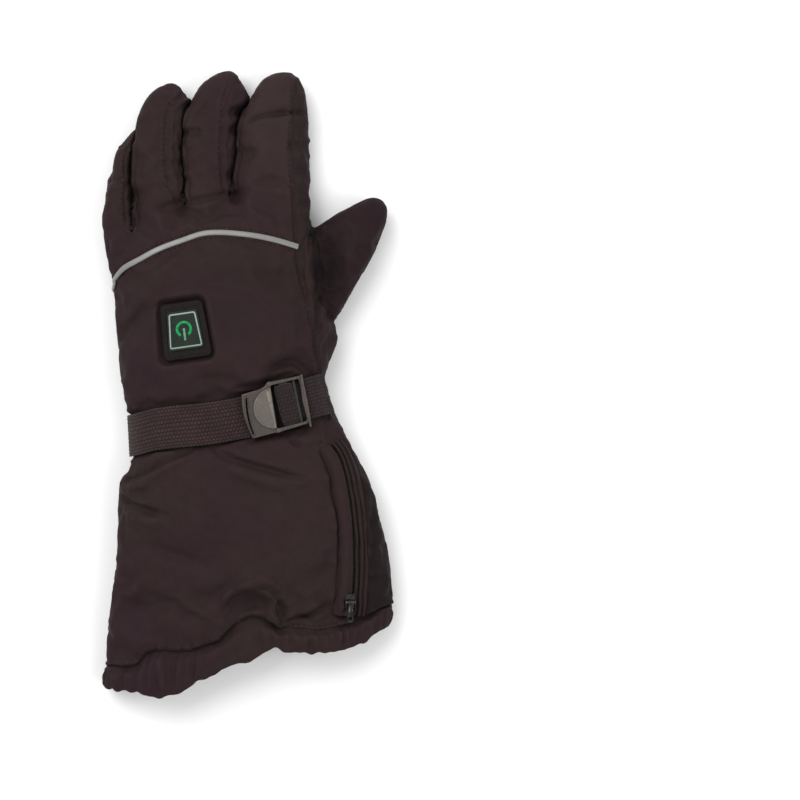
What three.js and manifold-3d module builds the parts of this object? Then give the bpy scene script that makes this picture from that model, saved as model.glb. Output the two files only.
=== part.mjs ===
import * as THREE from 'three';
import { mergeVertices } from 'three/addons/utils/BufferGeometryUtils.js';
import Module from 'manifold-3d';

// A heated winter motorcycle glove for the left hand, lying palm down on its back-of-hand side up.
// Millimetres. +X is the thumb side, +Y the fingertips and +Z the back of the hand. It rests on z = 0.

const wasm = await Module();
wasm.setup();

// Driving dimensions
const wall = 3.5;
const seamGap = 0.3;
const palmSeamHeight = 9;
const fourchetteTop = 18;
const far = 400;
const centring = { x: 0.8, y: -0.4 };

const strapThick = 1.8;
const strapWidth = 24;
const strapMargin = 0.02;
const strapUpperRow = 8;
const strapLowerRow = 9;
const strapStartAngle = 196;
const strapEndX = 11;
const strapSteps = 14;

const pipingRadius = 1.5;
const pipingSunk = 0.3;
const pipingSteps = 17;

const pad = {
  x: -35.7, y: 30.7, turn: 8, topWidth: 25, bottomWidth: 28.5, height: 33, corner: 4,
  thick: 3.4, sunk: 1.2, bevel: 1.1,
};
const button = { topWidth: 17.6, bottomWidth: 21, height: 22.4, corner: 1.6, thick: 0.9 };
const frameLine = {
  topWidth: 15.6, bottomWidth: 19, height: 20, corner: 0.8, innerCorner: 0.3, line: 1.1, thick: 0.35,
};
const powerMark = { radius: 4, line: 1.4, gapAngle: 32, barEnd: 6.4, thick: 0.35, up: 0.6 };
const markGap = 0.12;

const buckle = {
  x: 16.4, y: -14.6, turn: 15, length: 36.5, leftWidth: 25.6, rightWidth: 29.4,
  low: 0.3, thick: 3.2, bevel: 0.6,
};
const buckleSlot = { start: 3.2, end: 5.6, width: 19 };
const buckleTab = { edge: -1.7, radius: 11.4, thick: 1.5, root: 0.7, bevel: 0.5 };
const buckleWindow = { start: -0.4, end: 14.2, width: 22.8 };
const barWidth = 26.4;
const crossBar = { from: 3.4, to: 6.4, low: 1.4, high: 3 };
const gripBar = { from: 9.4, to: 12, low: 1 };
const anchor = { width: 22, thick: 1.4, bend: 18.6, end: 27, tailLow: -1.45, endLow: -4.5 };

const zipper = { channelHalf: 9, channelDepth: 2.1, channelHigh: 12, steps: 12 };
const slider = {
  x: 58.3, y: -125, turn: -91, length: 9, width: 6.4, low: 1.2, high: 3.2, corner: 1.6, bevel: 0.4,
};
const pin = { radius: 0.5, hole: 0.8, hub: 1.3, ear: 0.9, earTop: 0.9, root: 0.3 };
const pull = { length: 12, width: 3.8, thick: 1.1, corner: 1.2, bevel: 0.25 };

const bodyTop = 16;
const bodyBottom = 6;
const fingerTop = 8;
const fingerBottom = 4;
const hollowTop = 8;
const hollowBottom = 4;
const digitHollowTop = 6;
const digitHollowBottom = 4;
const smallestHollow = 4;
const hollowStart = 0.35;
const gauntletSteps = 2;
const mouthLength = 12;
const hemTop = 28;
const hemBottom = 10;
const hemOverlap = 3;
const hem = { leftX: -83.2, rightX: 82.5, top: 33, leftFlare: 1.2, rightDraw: 0.6, drop: 2 };

const roundSection = { edge: 0.42, topPower: 2.35, bottomPower: 3 };
const bodySection = { edge: 0.4, topPower: 2.5, bottomPower: 4 };

// Cross-sections, a row for each: the ends of the section's line in plan, its top and bottom, and how far
// the middle of its line bows towards the hem.
const sectionColumns = ['leftX', 'leftY', 'rightX', 'rightY', 'top', 'bottom', 'bow'];
const bodyRows = table(sectionColumns, [
  [-83.8, 85.8, 35.7, 114.8, 30, 2, 0],
  [-83.2, 77.7, 35.7, 99.8, 34, 0, 0],
  [-80.3, 63.2, 36.2, 80.6, 38, -1, 0],
  [-78.0, 45.8, 38.5, 61.5, 40, -1.5, 0],
  [-76.8, 28.4, 46.5, 44.5, 41, -1.5, 0],
  [-75.7, 13.9, 51.2, 27.0, 41.5, -1.5, 0],
  [-74.2, 2.0, 47.4, 16.5, 41, -1.5, 1],
  [-72.4, -8.5, 44.4, 9.5, 39.5, -1.5, 3],
  [-70.6, -15.3, 44.2, 4.6, 36.5, -1.5, 3.6],
  [-69.2, -40.3, 50.9, -18.9, 36, -1.5, 3.6],
  [-69.0, -46.2, 56.0, -29.0, 39.5, -1.5, 2],
  [-73.2, -53.5, 63.5, -43.5, 41, -1.5, 0],
  [-75.8, -66.1, 71.5, -59.5, 41, -1.5, 0],
  [-76.3, -84.7, 78.0, -80.4, 40, -1.5, 0],
  [-77.4, -107.9, 82.1, -100.0, 38.5, -1.5, 0],
  [-80.3, -131.9, 83.8, -113.3, 36.5, -1.5, 0],
  [-82.4, -150.4, 83.8, -122.5, 34.5, -1.5, 0],
  [-83.2, -166.5, 82.5, -129.5, 33, -1.5, 0],
]);

const indexRows = table(sectionColumns, [
  [-11.9, 83.5, 34.5, 85.8, 31, 1, 0],
  [-8.2, 112.0, 35.2, 112.0, 30, -0.5, 0],
  [-4.5, 135.7, 35.1, 135.7, 28, -0.5, 0],
  [-1.6, 152.5, 34.5, 154.3, 27, -0.5, 0],
  [0.9, 163.0, 33.3, 165.3, 26, 0, 0],
  [4.3, 169.9, 31.6, 172.3, 24, 1, 0],
  [9.0, 176.0, 29.3, 177.5, 21, 3, 0],
  [15.6, 181.5, 24.6, 181.5, 15.5, 7.5, 0],
]);

const middleRows = table(sectionColumns, [
  [-40.9, 83.5, -6.1, 83.5, 31, 1, 0],
  [-38.3, 107.0, -8.4, 112.0, 30, -0.5, 0],
  [-35.9, 135.7, -6.0, 135.7, 28, -0.5, 0],
  [-33.9, 152.0, -3.2, 152.0, 27, -0.5, 0],
  [-32.8, 163.0, -0.7, 163.0, 26, 0, 0],
  [-29.9, 171.7, -2.0, 171.7, 24, 1, 0],
  [-24.6, 177.5, -4.9, 177.5, 21, 3, 0],
  [-17.6, 181.8, -9.2, 181.8, 15.5, 7.5, 0],
]);

const ringRows = table(sectionColumns, [
  [-68.7, 77.7, -35.7, 83.5, 30, 1, 0],
  [-65.8, 94.0, -38.2, 107.0, 29.5, -0.5, 0],
  [-64.4, 121.2, -37.4, 127.0, 27.5, -0.5, 0],
  [-64.2, 136.9, -36.4, 142.7, 26.5, -0.5, 0],
  [-63.6, 148.5, -35.3, 157.8, 25.5, 0, 0],
  [-61.8, 160.1, -35.4, 164.1, 23.5, 1, 0],
  [-58.3, 167.0, -36.6, 168.2, 20.5, 3, 0],
  [-50.9, 173.4, -41.6, 173.8, 15, 7.5, 0],
]);

const littleRows = table(sectionColumns, [
  [-80.5, 68.8, -63.5, 70.8, 27, 1, 0],
  [-83.9, 83.5, -64.5, 80.6, 27.5, 0, 0],
  [-84.4, 98.0, -66.4, 91.6, 26.5, -0.5, 0],
  [-83.2, 111.4, -65.8, 106.7, 25.5, -0.5, 0],
  [-80.9, 123.0, -65.4, 120.6, 24, -0.5, 0],
  [-78.0, 132.2, -65.2, 131.1, 22, 0.5, 0],
  [-74.9, 138.6, -65.6, 138.3, 19, 3, 0],
  [-71.0, 144.8, -66.9, 144.8, 14, 8, 0],
]);

const thumbRows = table(sectionColumns, [
  [21.8, 70.8, 40.3, 19.7, 28, 3, 0],
  [31.6, 81.8, 49.6, 33.6, 29.5, 1, 0],
  [40.3, 91.6, 56.0, 47.6, 30.5, 0, 0],
  [49.6, 98.6, 64.7, 63.2, 30, -0.5, 0],
  [58.9, 103.2, 72.2, 77.7, 28.5, -0.5, 0],
  [65.8, 106.1, 77.4, 89.9, 25, 1, 0],
  [71.0, 107.6, 79.8, 98.6, 20.5, 4, 0],
  [75.7, 107.3, 79.5, 104.1, 15, 8.5, 0],
]);

// Folds and creases on the top of the cloth, each along three points in plan: a ridge has a positive height
// and a valley a negative one.
const foldRows = table(['x1', 'y1', 'x2', 'y2', 'x3', 'y3', 'height', 'width'], [
  [-68.2, -56.3, -52.5, -49.9, -31, -37, 2.2, 6],
  [-70, -63, -55, -58, -33, -45, -1.8, 6],
  [-15.4, -40.4, 3.2, -48.1, 25.2, -53.7, 2, 6],
  [-14, -48, 3, -56, 24, -62, -1.6, 6],
  [-72.2, -65.5, -62.9, -71.9, -52, -76, 2, 6],
  [-56, -92.8, -43, -98.5, -29.9, -103.2, -1.6, 8],
  [-13, -131, -2, -123, 5.5, -118, 2.4, 7],
  [5.5, -118, 14.8, -123.5, 16, -137, 2.6, 7],
  [-4, -138, 5, -130, 8, -128, -2.8, 8],
  [24, -141, 35, -133, 45, -129, -2, 7],
  [-50.2, 48, -60, 39, -70, 30, -1.8, 5],
  [11, 7, 24.1, 12.8, 35, 9, -1.8, 5],
  [30, 62, 34, 50, 36, 34, -2, 6],
  [-42, 96, -24, 99, -6, 103, -1.6, 6],
]);

// Seams in plan
const lineColumns = ['x', 'y'];
const sideSeam = table(lineColumns, [
  [25, 200], [24.6, 176.3], [22.3, 153.1], [22.3, 129.9], [23.5, 106.7], [25.8, 92.2], [28.1, 80.0],
  [31.0, 50.5], [35.7, 29.0], [38.6, 12.8], [39.5, -4.6], [43.5, -26],
]);
const pipingLine = table(lineColumns, [
  [-72.8, 66.6], [-59.4, 74.2], [-44.4, 81.8], [-30.4, 87.4], [-19.4, 89.0], [-4.9, 88.4], [9.6, 85.8],
  [25.8, 80.8],
]);
const pipingWrap = table(['x', 'y', 'z'], [
  [-79.6, 56.5, 15],
  [-78.6, 60, 23],
]);
const zipLine = table(lineColumns, [
  [44.9, -32.5], [50.4, -42], [53.8, -51], [56.8, -65.5], [58.9, -83.5], [59.4, -106.1], [58.6, -120],
  [57.6, -134],
]);
const hemSeam = table(lineColumns, [
  [-90, -167], [-83.2, -166.5], [-65.3, -165.3], [-56, -159], [-31, -156], [-20.6, -149.6], [-4.9, -142.5],
  [13.6, -138.3], [24.1, -142.8], [42.6, -143.6], [62.4, -138.2], [79.2, -130.4], [90, -128],
]);
const hemEdge = table(lineColumns, [
  [-92, -177], [-84.4, -177.3], [-69.3, -178.6], [-53.6, -181.2], [-39.1, -177.5], [-29.9, -170.5],
  [-10.1, -163.0], [15.9, -153.0], [24.1, -154.4], [49.0, -154.9], [65.8, -149.6], [82.1, -139.2],
  [92, -136],
]);

// The gathered hem, outside and inside: how far down the band, how full, its pleats and how far past it
const hemColumns = ['down', 'grow', 'pleat', 'past'];
const hemOutside = table(hemColumns, [
  [-0.25, -0.2, 0, 0],
  [0.2, 1.1, 0.9, 0],
  [0.85, 0.9, 0.9, 0],
  [1, -0.8, 0, 0],
]);
const hemInside = table(hemColumns, [
  [-0.4, -wall, 0, -4],
  [0.4, -wall, 0, 0],
  [1, -wall, 0, 0],
  [1, -wall, 0, mouthLength],
]);

// The strips of the zip, across and above the skin
const zipStrips = table(['name', 'from', 'to', 'low', 'high', 'material'], [
  ['zip_tape_hand', -6.4, -seamGap, -1.8, -1, 'zipTape'],
  ['zip_tape_thumb', seamGap, 6.4, -1.8, -1, 'zipTape'],
  ['zip_coil', -2.3, 2.3, -0.7, 0.9, 'zipTape'],
  ['zip_welt_hand', -8.6, -3.6, -0.7, 1.4, 'shellCloth'],
  ['zip_welt_thumb', 3.6, 8.6, -0.7, 1.4, 'shellCloth'],
]);

// The side strip of each pair of fingers: the seam on the left finger's top, the gap between the two
// fingers and the middle of the right finger, each from the tips to the crotch.
const fourchettes = [
  {
    name: 'fourchette_index_middle',
    seam: [[-6.5, 186], [-10, 176], [-13.6, 162], [-15.4, 138], [-14.2, 115.4], [-9.6, 109]],
    gap: [[-1, 200], [0.3, 172], [-1.2, 155], [-5.2, 135.7], [-7.8, 113], [-8.3, 104]],
    middle: [[18, 200], [18, 172], [15.6, 152], [15.3, 135], [14, 114], [13, 101]],
  },
  {
    name: 'fourchette_middle_ring',
    seam: [[-36, 178], [-39.5, 168], [-45.5, 160], [-47.3, 141.5], [-46, 118], [-40, 105]],
    gap: [[-33, 200], [-34.2, 163], [-35.4, 150], [-36.7, 135.7], [-38.2, 109], [-38.3, 99]],
    middle: [[-14, 200], [-14, 172], [-18.4, 152], [-21, 135], [-23, 112], [-23, 98]],
  },
  {
    name: 'fourchette_ring_little',
    seam: [[-68, 152], [-70, 140], [-71.2, 128], [-71.5, 114], [-71, 98], [-68.6, 89]],
    gap: [[-62.5, 190], [-64.7, 143], [-64.8, 130], [-65.3, 110], [-66.2, 92], [-66.5, 84]],
    middle: [[-46, 200], [-48, 166], [-50, 152], [-51, 138], [-52, 102], [-52, 90]],
  },
];

// Tables, curves and sections

function table(columns, rows) {
  return rows.map((row) => Object.fromEntries(columns.map((name, index) => [name, row[index]])));
}

function smooth(a, b, c, d, f) {
  return b + 0.5 * f * (c - a + f * (2 * a - 5 * b + 4 * c - d + f * (3 * (b - c) + d - a)));
}

function rowAt(rows, t) {
  const start = Math.min(Math.floor(t), rows.length - 2);
  const near = [-1, 0, 1, 2].map((step) => rows[THREE.MathUtils.clamp(start + step, 0, rows.length - 1)]);
  const row = {};
  for (const key of Object.keys(near[1])) {
    row[key] = smooth(near[0][key], near[1][key], near[2][key], near[3][key], t - start);
  }
  return row;
}

function lineHeight(line, x) {
  let index = 0;
  while (index < line.length - 2 && line[index + 1].x < x) {
    index += 1;
  }
  const f = (x - line[index].x) / (line[index + 1].x - line[index].x);
  return rowAt(line, index + THREE.MathUtils.clamp(f, 0, 1)).y;
}

// The angles of a section's points: from the right edge over the top to the left edge, then underneath.
function ringAngles(topCount, bottomCount) {
  const angles = [];
  for (let k = 0; k < topCount; k += 1) {
    angles.push((Math.PI * k) / topCount);
  }
  for (let k = 0; k < bottomCount; k += 1) {
    angles.push(Math.PI * (1 + k / bottomCount));
  }
  return angles;
}

// One point of a section: a superellipse that is flattened where it rests on the ground.
function sectionPoint(section, shape, angle, grow) {
  const left = new THREE.Vector2(section.leftX, section.leftY);
  const right = new THREE.Vector2(section.rightX, section.rightY);
  const along = right.clone().sub(left).normalize();
  const half = left.distanceTo(right) / 2 + grow;
  const middle = THREE.MathUtils.lerp(section.bottom, section.top, shape.edge);
  const up = Math.sin(angle) >= 0;
  const power = 2 / (up ? shape.topPower : shape.bottomPower);
  const across = Math.sign(Math.cos(angle)) * Math.abs(Math.cos(angle)) ** power;
  const rise = Math.sign(Math.sin(angle)) * Math.abs(Math.sin(angle)) ** power;
  const reach = (up ? section.top - middle : middle - section.bottom) + grow;
  const centre = left.add(right).multiplyScalar(0.5);
  const bow = section.bow * (1 - across * across);
  return new THREE.Vector3(
    centre.x + along.x * across * half + along.y * bow,
    centre.y + along.y * across * half - along.x * bow,
    Math.max(middle + rise * reach, -grow),
  );
}

function foldAt(x, y) {
  const here = new THREE.Vector3(x, y, 0);
  const nearest = new THREE.Vector3();
  let height = 0;
  for (const fold of foldRows) {
    const points = [
      new THREE.Vector3(fold.x1, fold.y1, 0),
      new THREE.Vector3(fold.x2, fold.y2, 0),
      new THREE.Vector3(fold.x3, fold.y3, 0),
    ];
    let distance = Infinity;
    for (let k = 0; k < 2; k += 1) {
      new THREE.Line3(points[k], points[k + 1]).closestPointToPoint(here, true, nearest);
      distance = Math.min(distance, nearest.distanceTo(here));
    }
    height += fold.height * Math.exp(-((distance / fold.width) ** 2));
  }
  return height;
}

// A point of the hand and gauntlet, with the folds on its top and the hem's waves towards its mouth.
function bodyPoint(t, angle, grow) {
  const section = rowAt(bodyRows, t);
  const point = sectionPoint(section, bodySection, angle, grow);
  point.z += foldAt(point.x, point.y) * Math.max(0, Math.sin(angle));
  const last = bodyRows.length - 1;
  const ramp = THREE.MathUtils.smoothstep(t, last - 3, last);
  const chord = THREE.MathUtils.mapLinear(
    point.x, bodyRows[last].leftX, bodyRows[last].rightX, bodyRows[last].leftY, bodyRows[last].rightY,
  );
  point.y += ramp * (lineHeight(hemSeam, point.x) - hemOverlap - chord);
  return point;
}

// Solids from sections

function capFaces(ring, start, topCount, flip) {
  const bottomCount = ring.length - topCount;
  const faces = [];
  let upper = 0;
  let lower = 0;
  while (upper + lower < ring.length - 2) {
    const upperIndex = start + upper;
    const lowerIndex = start + ((ring.length - lower) % ring.length);
    const stepUpper = (upper + 1) / topCount <= (lower + 1) / bottomCount;
    const next = stepUpper ? start + upper + 1 : start + ring.length - lower - 1;
    if (upper > 0 || lower > 0) {
      faces.push(flip ? [upperIndex, next, lowerIndex] : [upperIndex, lowerIndex, next]);
    }
    if (stepUpper) {
      upper += 1;
    } else {
      lower += 1;
    }
  }
  const [a, b, c] = [start + upper, start + upper + 1, start + ((ring.length - lower) % ring.length)];
  faces.push(flip ? [a, b, c] : [a, c, b]);
  return faces;
}

function loft(rings, topCount = Math.floor(rings[0].length / 2)) {
  const count = rings[0].length;
  const faces = [
    ...capFaces(rings[0], 0, topCount, false),
    ...capFaces(rings[rings.length - 1], (rings.length - 1) * count, topCount, true),
  ];
  for (let r = 0; r < rings.length - 1; r += 1) {
    for (let k = 0; k < count; k += 1) {
      const a = r * count + k;
      const b = r * count + ((k + 1) % count);
      faces.push([a, b, b + count], [a, b + count, a + count]);
    }
  }
  const geometry = new THREE.BufferGeometry();
  const positions = rings.flat().flatMap((point) => point.toArray());
  geometry.setAttribute('position', new THREE.Float32BufferAttribute(positions, 3));
  geometry.setIndex(faces.flat());
  return solidOf(geometry);
}

function solidOf(geometry) {
  const plain = geometry.clone();
  plain.deleteAttribute('normal');
  plain.deleteAttribute('uv');
  const merged = mergeVertices(plain, 1e-4);
  const triangles = Array.from(merged.index.array);
  if (volumeOf(merged.attributes.position.array, triangles) < 0) {
    triangles.reverse();
  }
  return new wasm.Manifold(new wasm.Mesh({
    numProp: 3,
    vertProperties: new Float32Array(merged.attributes.position.array),
    triVerts: new Uint32Array(triangles),
  }));
}

function volumeOf(positions, triangles) {
  let volume = 0;
  for (let k = 0; k < triangles.length; k += 3) {
    const corner = (step) => new THREE.Vector3().fromArray(positions, 3 * triangles[k + step]);
    const [a, b, c] = [corner(0), corner(1), corner(2)];
    volume += a.dot(b.cross(c)) / 6;
  }
  return volume;
}

function geometryOf(solid) {
  const { vertProperties, triVerts } = solid.getMesh();
  const geometry = new THREE.BufferGeometry();
  geometry.setAttribute('position', new THREE.Float32BufferAttribute(vertProperties, 3));
  geometry.setIndex(Array.from(triVerts));
  return geometry;
}

function join(solids) {
  return solids.reduce((all, solid) => all.add(solid));
}

function largestPiece(solid) {
  return solid.decompose().reduce((best, piece) => (piece.volume() > best.volume() ? piece : best));
}

// A digit's solid from its rows. A negative grow gives its hollow, which stops short of the tip.
function digit(rows, grow, topCount = fingerTop, bottomCount = fingerBottom) {
  const angles = ringAngles(topCount, bottomCount);
  const least = smallestHollow - 2 * grow;
  const wide = (row) => Math.hypot(row.rightX - row.leftX, row.rightY - row.leftY) > least;
  const tall = (row) => row.top - row.bottom > least;
  const kept = rows.filter((row) => grow >= 0 || (wide(row) && tall(row)));
  return loft(
    kept.map((row) => angles.map((angle) => sectionPoint(row, roundSection, angle, grow))),
    topCount,
  );
}

// The hand and gauntlet; the folds of the gauntlet take more sections.
function body(from, to, stepsPerRow, grow, topCount, bottomCount) {
  const angles = ringAngles(topCount, bottomCount);
  const stations = [from];
  while (stations[stations.length - 1] < to - 1e-6) {
    const t = stations[stations.length - 1];
    stations.push(t < strapLowerRow + 1 ? Math.floor(t + 1) : t + 1 / stepsPerRow);
  }
  return loft(stations.map((t) => angles.map((angle) => bodyPoint(t, angle, grow))), topCount);
}

function prism(points, low, high) {
  const shape = new THREE.Shape(points.map(([x, y]) => new THREE.Vector2(x, y)));
  const geometry = new THREE.ExtrudeGeometry(shape, { depth: high - low, bevelEnabled: false });
  geometry.translate(0, 0, low);
  return solidOf(geometry);
}

function slab(low, high) {
  return prism([[-far, -far], [far, -far], [far, far], [-far, far]], low, high);
}

// Everything on one side of a seam in plan, half the seam gap away from it
function beside(line, directionX, directionY, gap = seamGap / 2) {
  const near = line.map(({ x, y }) => [x + directionX * gap, y + directionY * gap]);
  const away = line.map(({ x, y }) => [x + directionX * far, y + directionY * far]);
  return prism([...near, ...away.reverse()], -far, far);
}

// The space of one fourchette: the seam side of the left finger and the lower side of the right one
function fourchetteSpace({ seam, gap, middle }, grow) {
  const down = ([x, y], index, list) => [x, index === list.length - 1 ? y - grow : y];
  const seamPoints = seam.map(([x, y]) => [x - grow, y]).map(down);
  const gapPoints = gap.map(down);
  const middlePoints = middle.map(([x, y]) => [x + grow, y]).map(down);
  const visible = prism([...seamPoints, ...[...gapPoints].reverse()], 0, far);
  const hidden = prism([...gapPoints, ...[...middlePoints].reverse()], 0, fourchetteTop + grow);
  return visible.add(hidden);
}

// The skin that pieces are laid on

function surfaceOf(solid) {
  const material = new THREE.MeshStandardMaterial({ side: THREE.DoubleSide });
  const mesh = new THREE.Mesh(geometryOf(solid), material);
  const caster = new THREE.Raycaster();
  const down = new THREE.Vector3(0, 0, -1);
  return (x, y) => {
    caster.set(new THREE.Vector3(x, y, 100), down);
    return caster.intersectObject(mesh)[0].point.z;
  };
}

function normalAt(heightAt, x, y) {
  const step = 3;
  const slopeX = (heightAt(x + step, y) - heightAt(x - step, y)) / (2 * step);
  const slopeY = (heightAt(x, y + step) - heightAt(x, y - step)) / (2 * step);
  return new THREE.Vector3(-slopeX, -slopeY, 1).normalize();
}

// A strip that follows a line over the skin. Its section is a list of [across, up] points.
function sweepOn(heightAt, line, section, count) {
  const curve = new THREE.CatmullRomCurve3(line.map(({ x, y }) => new THREE.Vector3(x, y, heightAt(x, y))));
  const rings = [];
  for (let k = 0; k <= count; k += 1) {
    const plan = curve.getPointAt(k / count);
    const along = curve.getTangentAt(k / count);
    const up = normalAt(heightAt, plan.x, plan.y);
    const across = up.clone().cross(along).normalize();
    const centre = new THREE.Vector3(plan.x, plan.y, heightAt(plan.x, plan.y));
    rings.push(section.map(([side, rise]) => (
      centre.clone().addScaledVector(across, side).addScaledVector(up, rise)
    )));
  }
  return loft(rings);
}

function box(fromSide, toSide, low, high) {
  return [[fromSide, low], [toSide, low], [toSide, high], [fromSide, high]];
}

// A flat seat on the skin: its x axis lies along the heading, and it touches the highest point under it.
function seatOn(heightAt, x, y, turn, length, width) {
  const heading = THREE.MathUtils.degToRad(turn);
  const along = new THREE.Vector3(Math.cos(heading), Math.sin(heading), 0);
  const side = new THREE.Vector3(-along.y, along.x, 0);
  const spot = (a, b) => {
    const px = x + along.x * a + side.x * b;
    const py = y + along.y * a + side.y * b;
    return new THREE.Vector3(px, py, heightAt(px, py));
  };
  const alongUp = spot(length / 2, 0).sub(spot(-length / 2, 0)).normalize();
  const sideUp = spot(0, width / 2).sub(spot(0, -width / 2)).normalize();
  const up = alongUp.clone().cross(sideUp).normalize();
  const across = up.clone().cross(alongUp).normalize();
  const centre = spot(0, 0);
  let lift = 0;
  for (const a of [-0.5, -0.25, 0, 0.25, 0.5]) {
    for (const b of [-0.5, 0, 0.5]) {
      lift = Math.max(lift, spot(a * length, b * width).sub(centre).dot(up));
    }
  }
  centre.addScaledVector(up, lift);
  return new THREE.Matrix4().makeBasis(alongUp, across, up).setPosition(centre);
}

function placed(solid, matrix) {
  return solid.transform(matrix.toArray());
}

// Flat pieces in their own frames

function trapezoid({ topWidth, bottomWidth, height, corner }) {
  const corners = [
    new THREE.Vector2(-bottomWidth / 2, -height / 2),
    new THREE.Vector2(bottomWidth / 2, -height / 2),
    new THREE.Vector2(topWidth / 2, height / 2),
    new THREE.Vector2(-topWidth / 2, height / 2),
  ];
  const shape = new THREE.Shape();
  corners.forEach((point, index) => {
    const before = corners[(index + 3) % 4].clone().sub(point).setLength(corner).add(point);
    const after = corners[(index + 1) % 4].clone().sub(point).setLength(corner).add(point);
    if (index === 0) {
      shape.moveTo(before.x, before.y);
    } else {
      shape.lineTo(before.x, before.y);
    }
    shape.quadraticCurveTo(point.x, point.y, after.x, after.y);
  });
  shape.closePath();
  return shape;
}

function grownBy(flat, grow) {
  return {
    ...flat,
    topWidth: flat.topWidth + 2 * grow,
    bottomWidth: flat.bottomWidth + 2 * grow,
    height: flat.height + 2 * grow,
  };
}

function plate(shape, low, high, bevel = 0, curveSegments = 3) {
  const geometry = new THREE.ExtrudeGeometry(shape, {
    depth: high - low - 2 * bevel,
    curveSegments,
    bevelEnabled: bevel > 0,
    bevelThickness: bevel,
    bevelSize: bevel,
    bevelOffset: -bevel,
    bevelSegments: 1,
  });
  geometry.translate(0, 0, low + bevel);
  return solidOf(geometry);
}

function rectangle(fromX, toX, width) {
  return new THREE.Shape([
    new THREE.Vector2(fromX, -width / 2), new THREE.Vector2(toX, -width / 2),
    new THREE.Vector2(toX, width / 2), new THREE.Vector2(fromX, width / 2),
  ]);
}

function arcBand(radius, line, fromDegrees, toDegrees) {
  const [from, to] = [fromDegrees, toDegrees].map(THREE.MathUtils.degToRad);
  const shape = new THREE.Shape();
  shape.absarc(0, 0, radius + line / 2, from, to, false);
  shape.absarc(0, 0, radius - line / 2, to, from, true);
  return shape;
}

// Cloth shells

function clothShells() {
  const last = bodyRows.length - 1;
  const bodyOuter = body(0, last, gauntletSteps, 0, bodyTop, bodyBottom);
  const bodyInner = body(hollowStart, last, 1, -wall, hollowTop, hollowBottom);
  const mouthRing = ringAngles(hollowTop, hollowBottom).map((angle) => bodyPoint(last, angle, -wall));
  const mouthEnd = mouthRing.map((point) => point.clone().setY(point.y - mouthLength));
  const mouth = loft([mouthRing, mouthEnd], hollowTop);
  const digits = [indexRows, middleRows, ringRows, littleRows];
  const outer = join([bodyOuter, ...digits.map((rows) => digit(rows, 0))]);
  const hollowOf = (rows) => digit(rows, -wall, digitHollowTop, digitHollowBottom);
  const thumbHollow = hollowOf(thumbRows);
  const hollow = join([bodyInner, mouth, thumbHollow, ...digits.map(hollowOf)]);
  const thumbRoot = body(0, strapUpperRow, 1, seamGap, bodyTop, bodyBottom);
  const thumb = largestPiece(digit(thumbRows, 0).subtract(thumbRoot).subtract(thumbHollow));
  return { outer, shell: outer.subtract(hollow), thumb };
}

const { outer, shell, thumb } = clothShells();
const skin = surfaceOf(outer);

// The strap lies in its trough round the wrist, from the little-finger side seam to under the buckle.
const wristLeft = bodyRows[strapUpperRow].leftX;
const wristRight = bodyRows[strapLowerRow].rightX;
const wristMiddle = (wristLeft + wristRight) / 2;
const wristHalf = (wristRight - wristLeft) / 2;

function strapSolid(low, high, side) {
  const rings = [];
  const endAngle = Math.acos(((strapEndX + side - wristMiddle) / wristHalf) ** (bodySection.topPower / 2));
  const startAngle = THREE.MathUtils.degToRad(strapStartAngle) + side / wristHalf;
  const across = [0, 0.5, 1];
  const edge = strapMargin - side / strapWidth;
  for (let k = 0; k <= strapSteps; k += 1) {
    const angle = THREE.MathUtils.lerp(startAngle, endAngle, k / strapSteps);
    const rows = across.map((f) => THREE.MathUtils.lerp(strapUpperRow + edge, strapLowerRow - edge, f));
    const under = rows.map((t) => bodyPoint(t, angle, low));
    const over = rows.map((t) => bodyPoint(t, angle, high));
    rings.push([...under, ...over.reverse()]);
  }
  return loft(rings);
}

const strap = strapSolid(seamGap, seamGap + strapThick, 0);

// The reflective piping crosses the knuckles from the little-finger side to the thumb-side seam.
function pipingSolid(radius) {
  const curve = new THREE.CatmullRomCurve3([
    ...pipingWrap.map(({ x, y, z }) => new THREE.Vector3(x, y, z)),
    ...pipingLine.map(({ x, y }) => new THREE.Vector3(x, y, skin(x, y) - pipingSunk)),
  ]);
  const circle = new THREE.Shape();
  circle.absarc(0, 0, radius, 0, 2 * Math.PI, false);
  const along = { extrudePath: curve, steps: pipingSteps, curveSegments: 3 };
  return solidOf(new THREE.ExtrudeGeometry(circle, along));
}

const piping = pipingSolid(pipingRadius);

// The heating switch: a raised pad, its soft key, and the marks on the key
const padSeat = seatOn(skin, pad.x, pad.y, pad.turn, pad.topWidth, pad.height)
  .multiply(new THREE.Matrix4().makeTranslation(0, 0, -pad.sunk));
const padTop = pad.thick;
const keyTop = padTop + seamGap + button.thick;
const markBase = keyTop + markGap;

function switchPad() {
  return placed(plate(trapezoid(pad), 0, padTop, pad.bevel), padSeat);
}

function switchPadClearance() {
  return placed(plate(trapezoid(grownBy(pad, seamGap)), -seamGap, 6 * pad.thick), padSeat);
}

function switchKey() {
  return placed(plate(trapezoid(button), padTop + seamGap, keyTop), padSeat);
}

function switchFrame() {
  const shape = trapezoid(frameLine);
  const inside = { ...grownBy(frameLine, -frameLine.line), corner: frameLine.innerCorner };
  shape.holes.push(new THREE.Path(trapezoid(inside).getPoints(4)));
  return placed(plate(shape, markBase, markBase + frameLine.thick), padSeat);
}

function powerRing() {
  const { radius, line, gapAngle, thick, up } = powerMark;
  const shape = arcBand(radius, line, gapAngle - 90, 270 - gapAngle);
  const solid = plate(shape, markBase, markBase + thick).translate([0, up, 0]);
  return placed(solid, padSeat);
}

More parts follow.
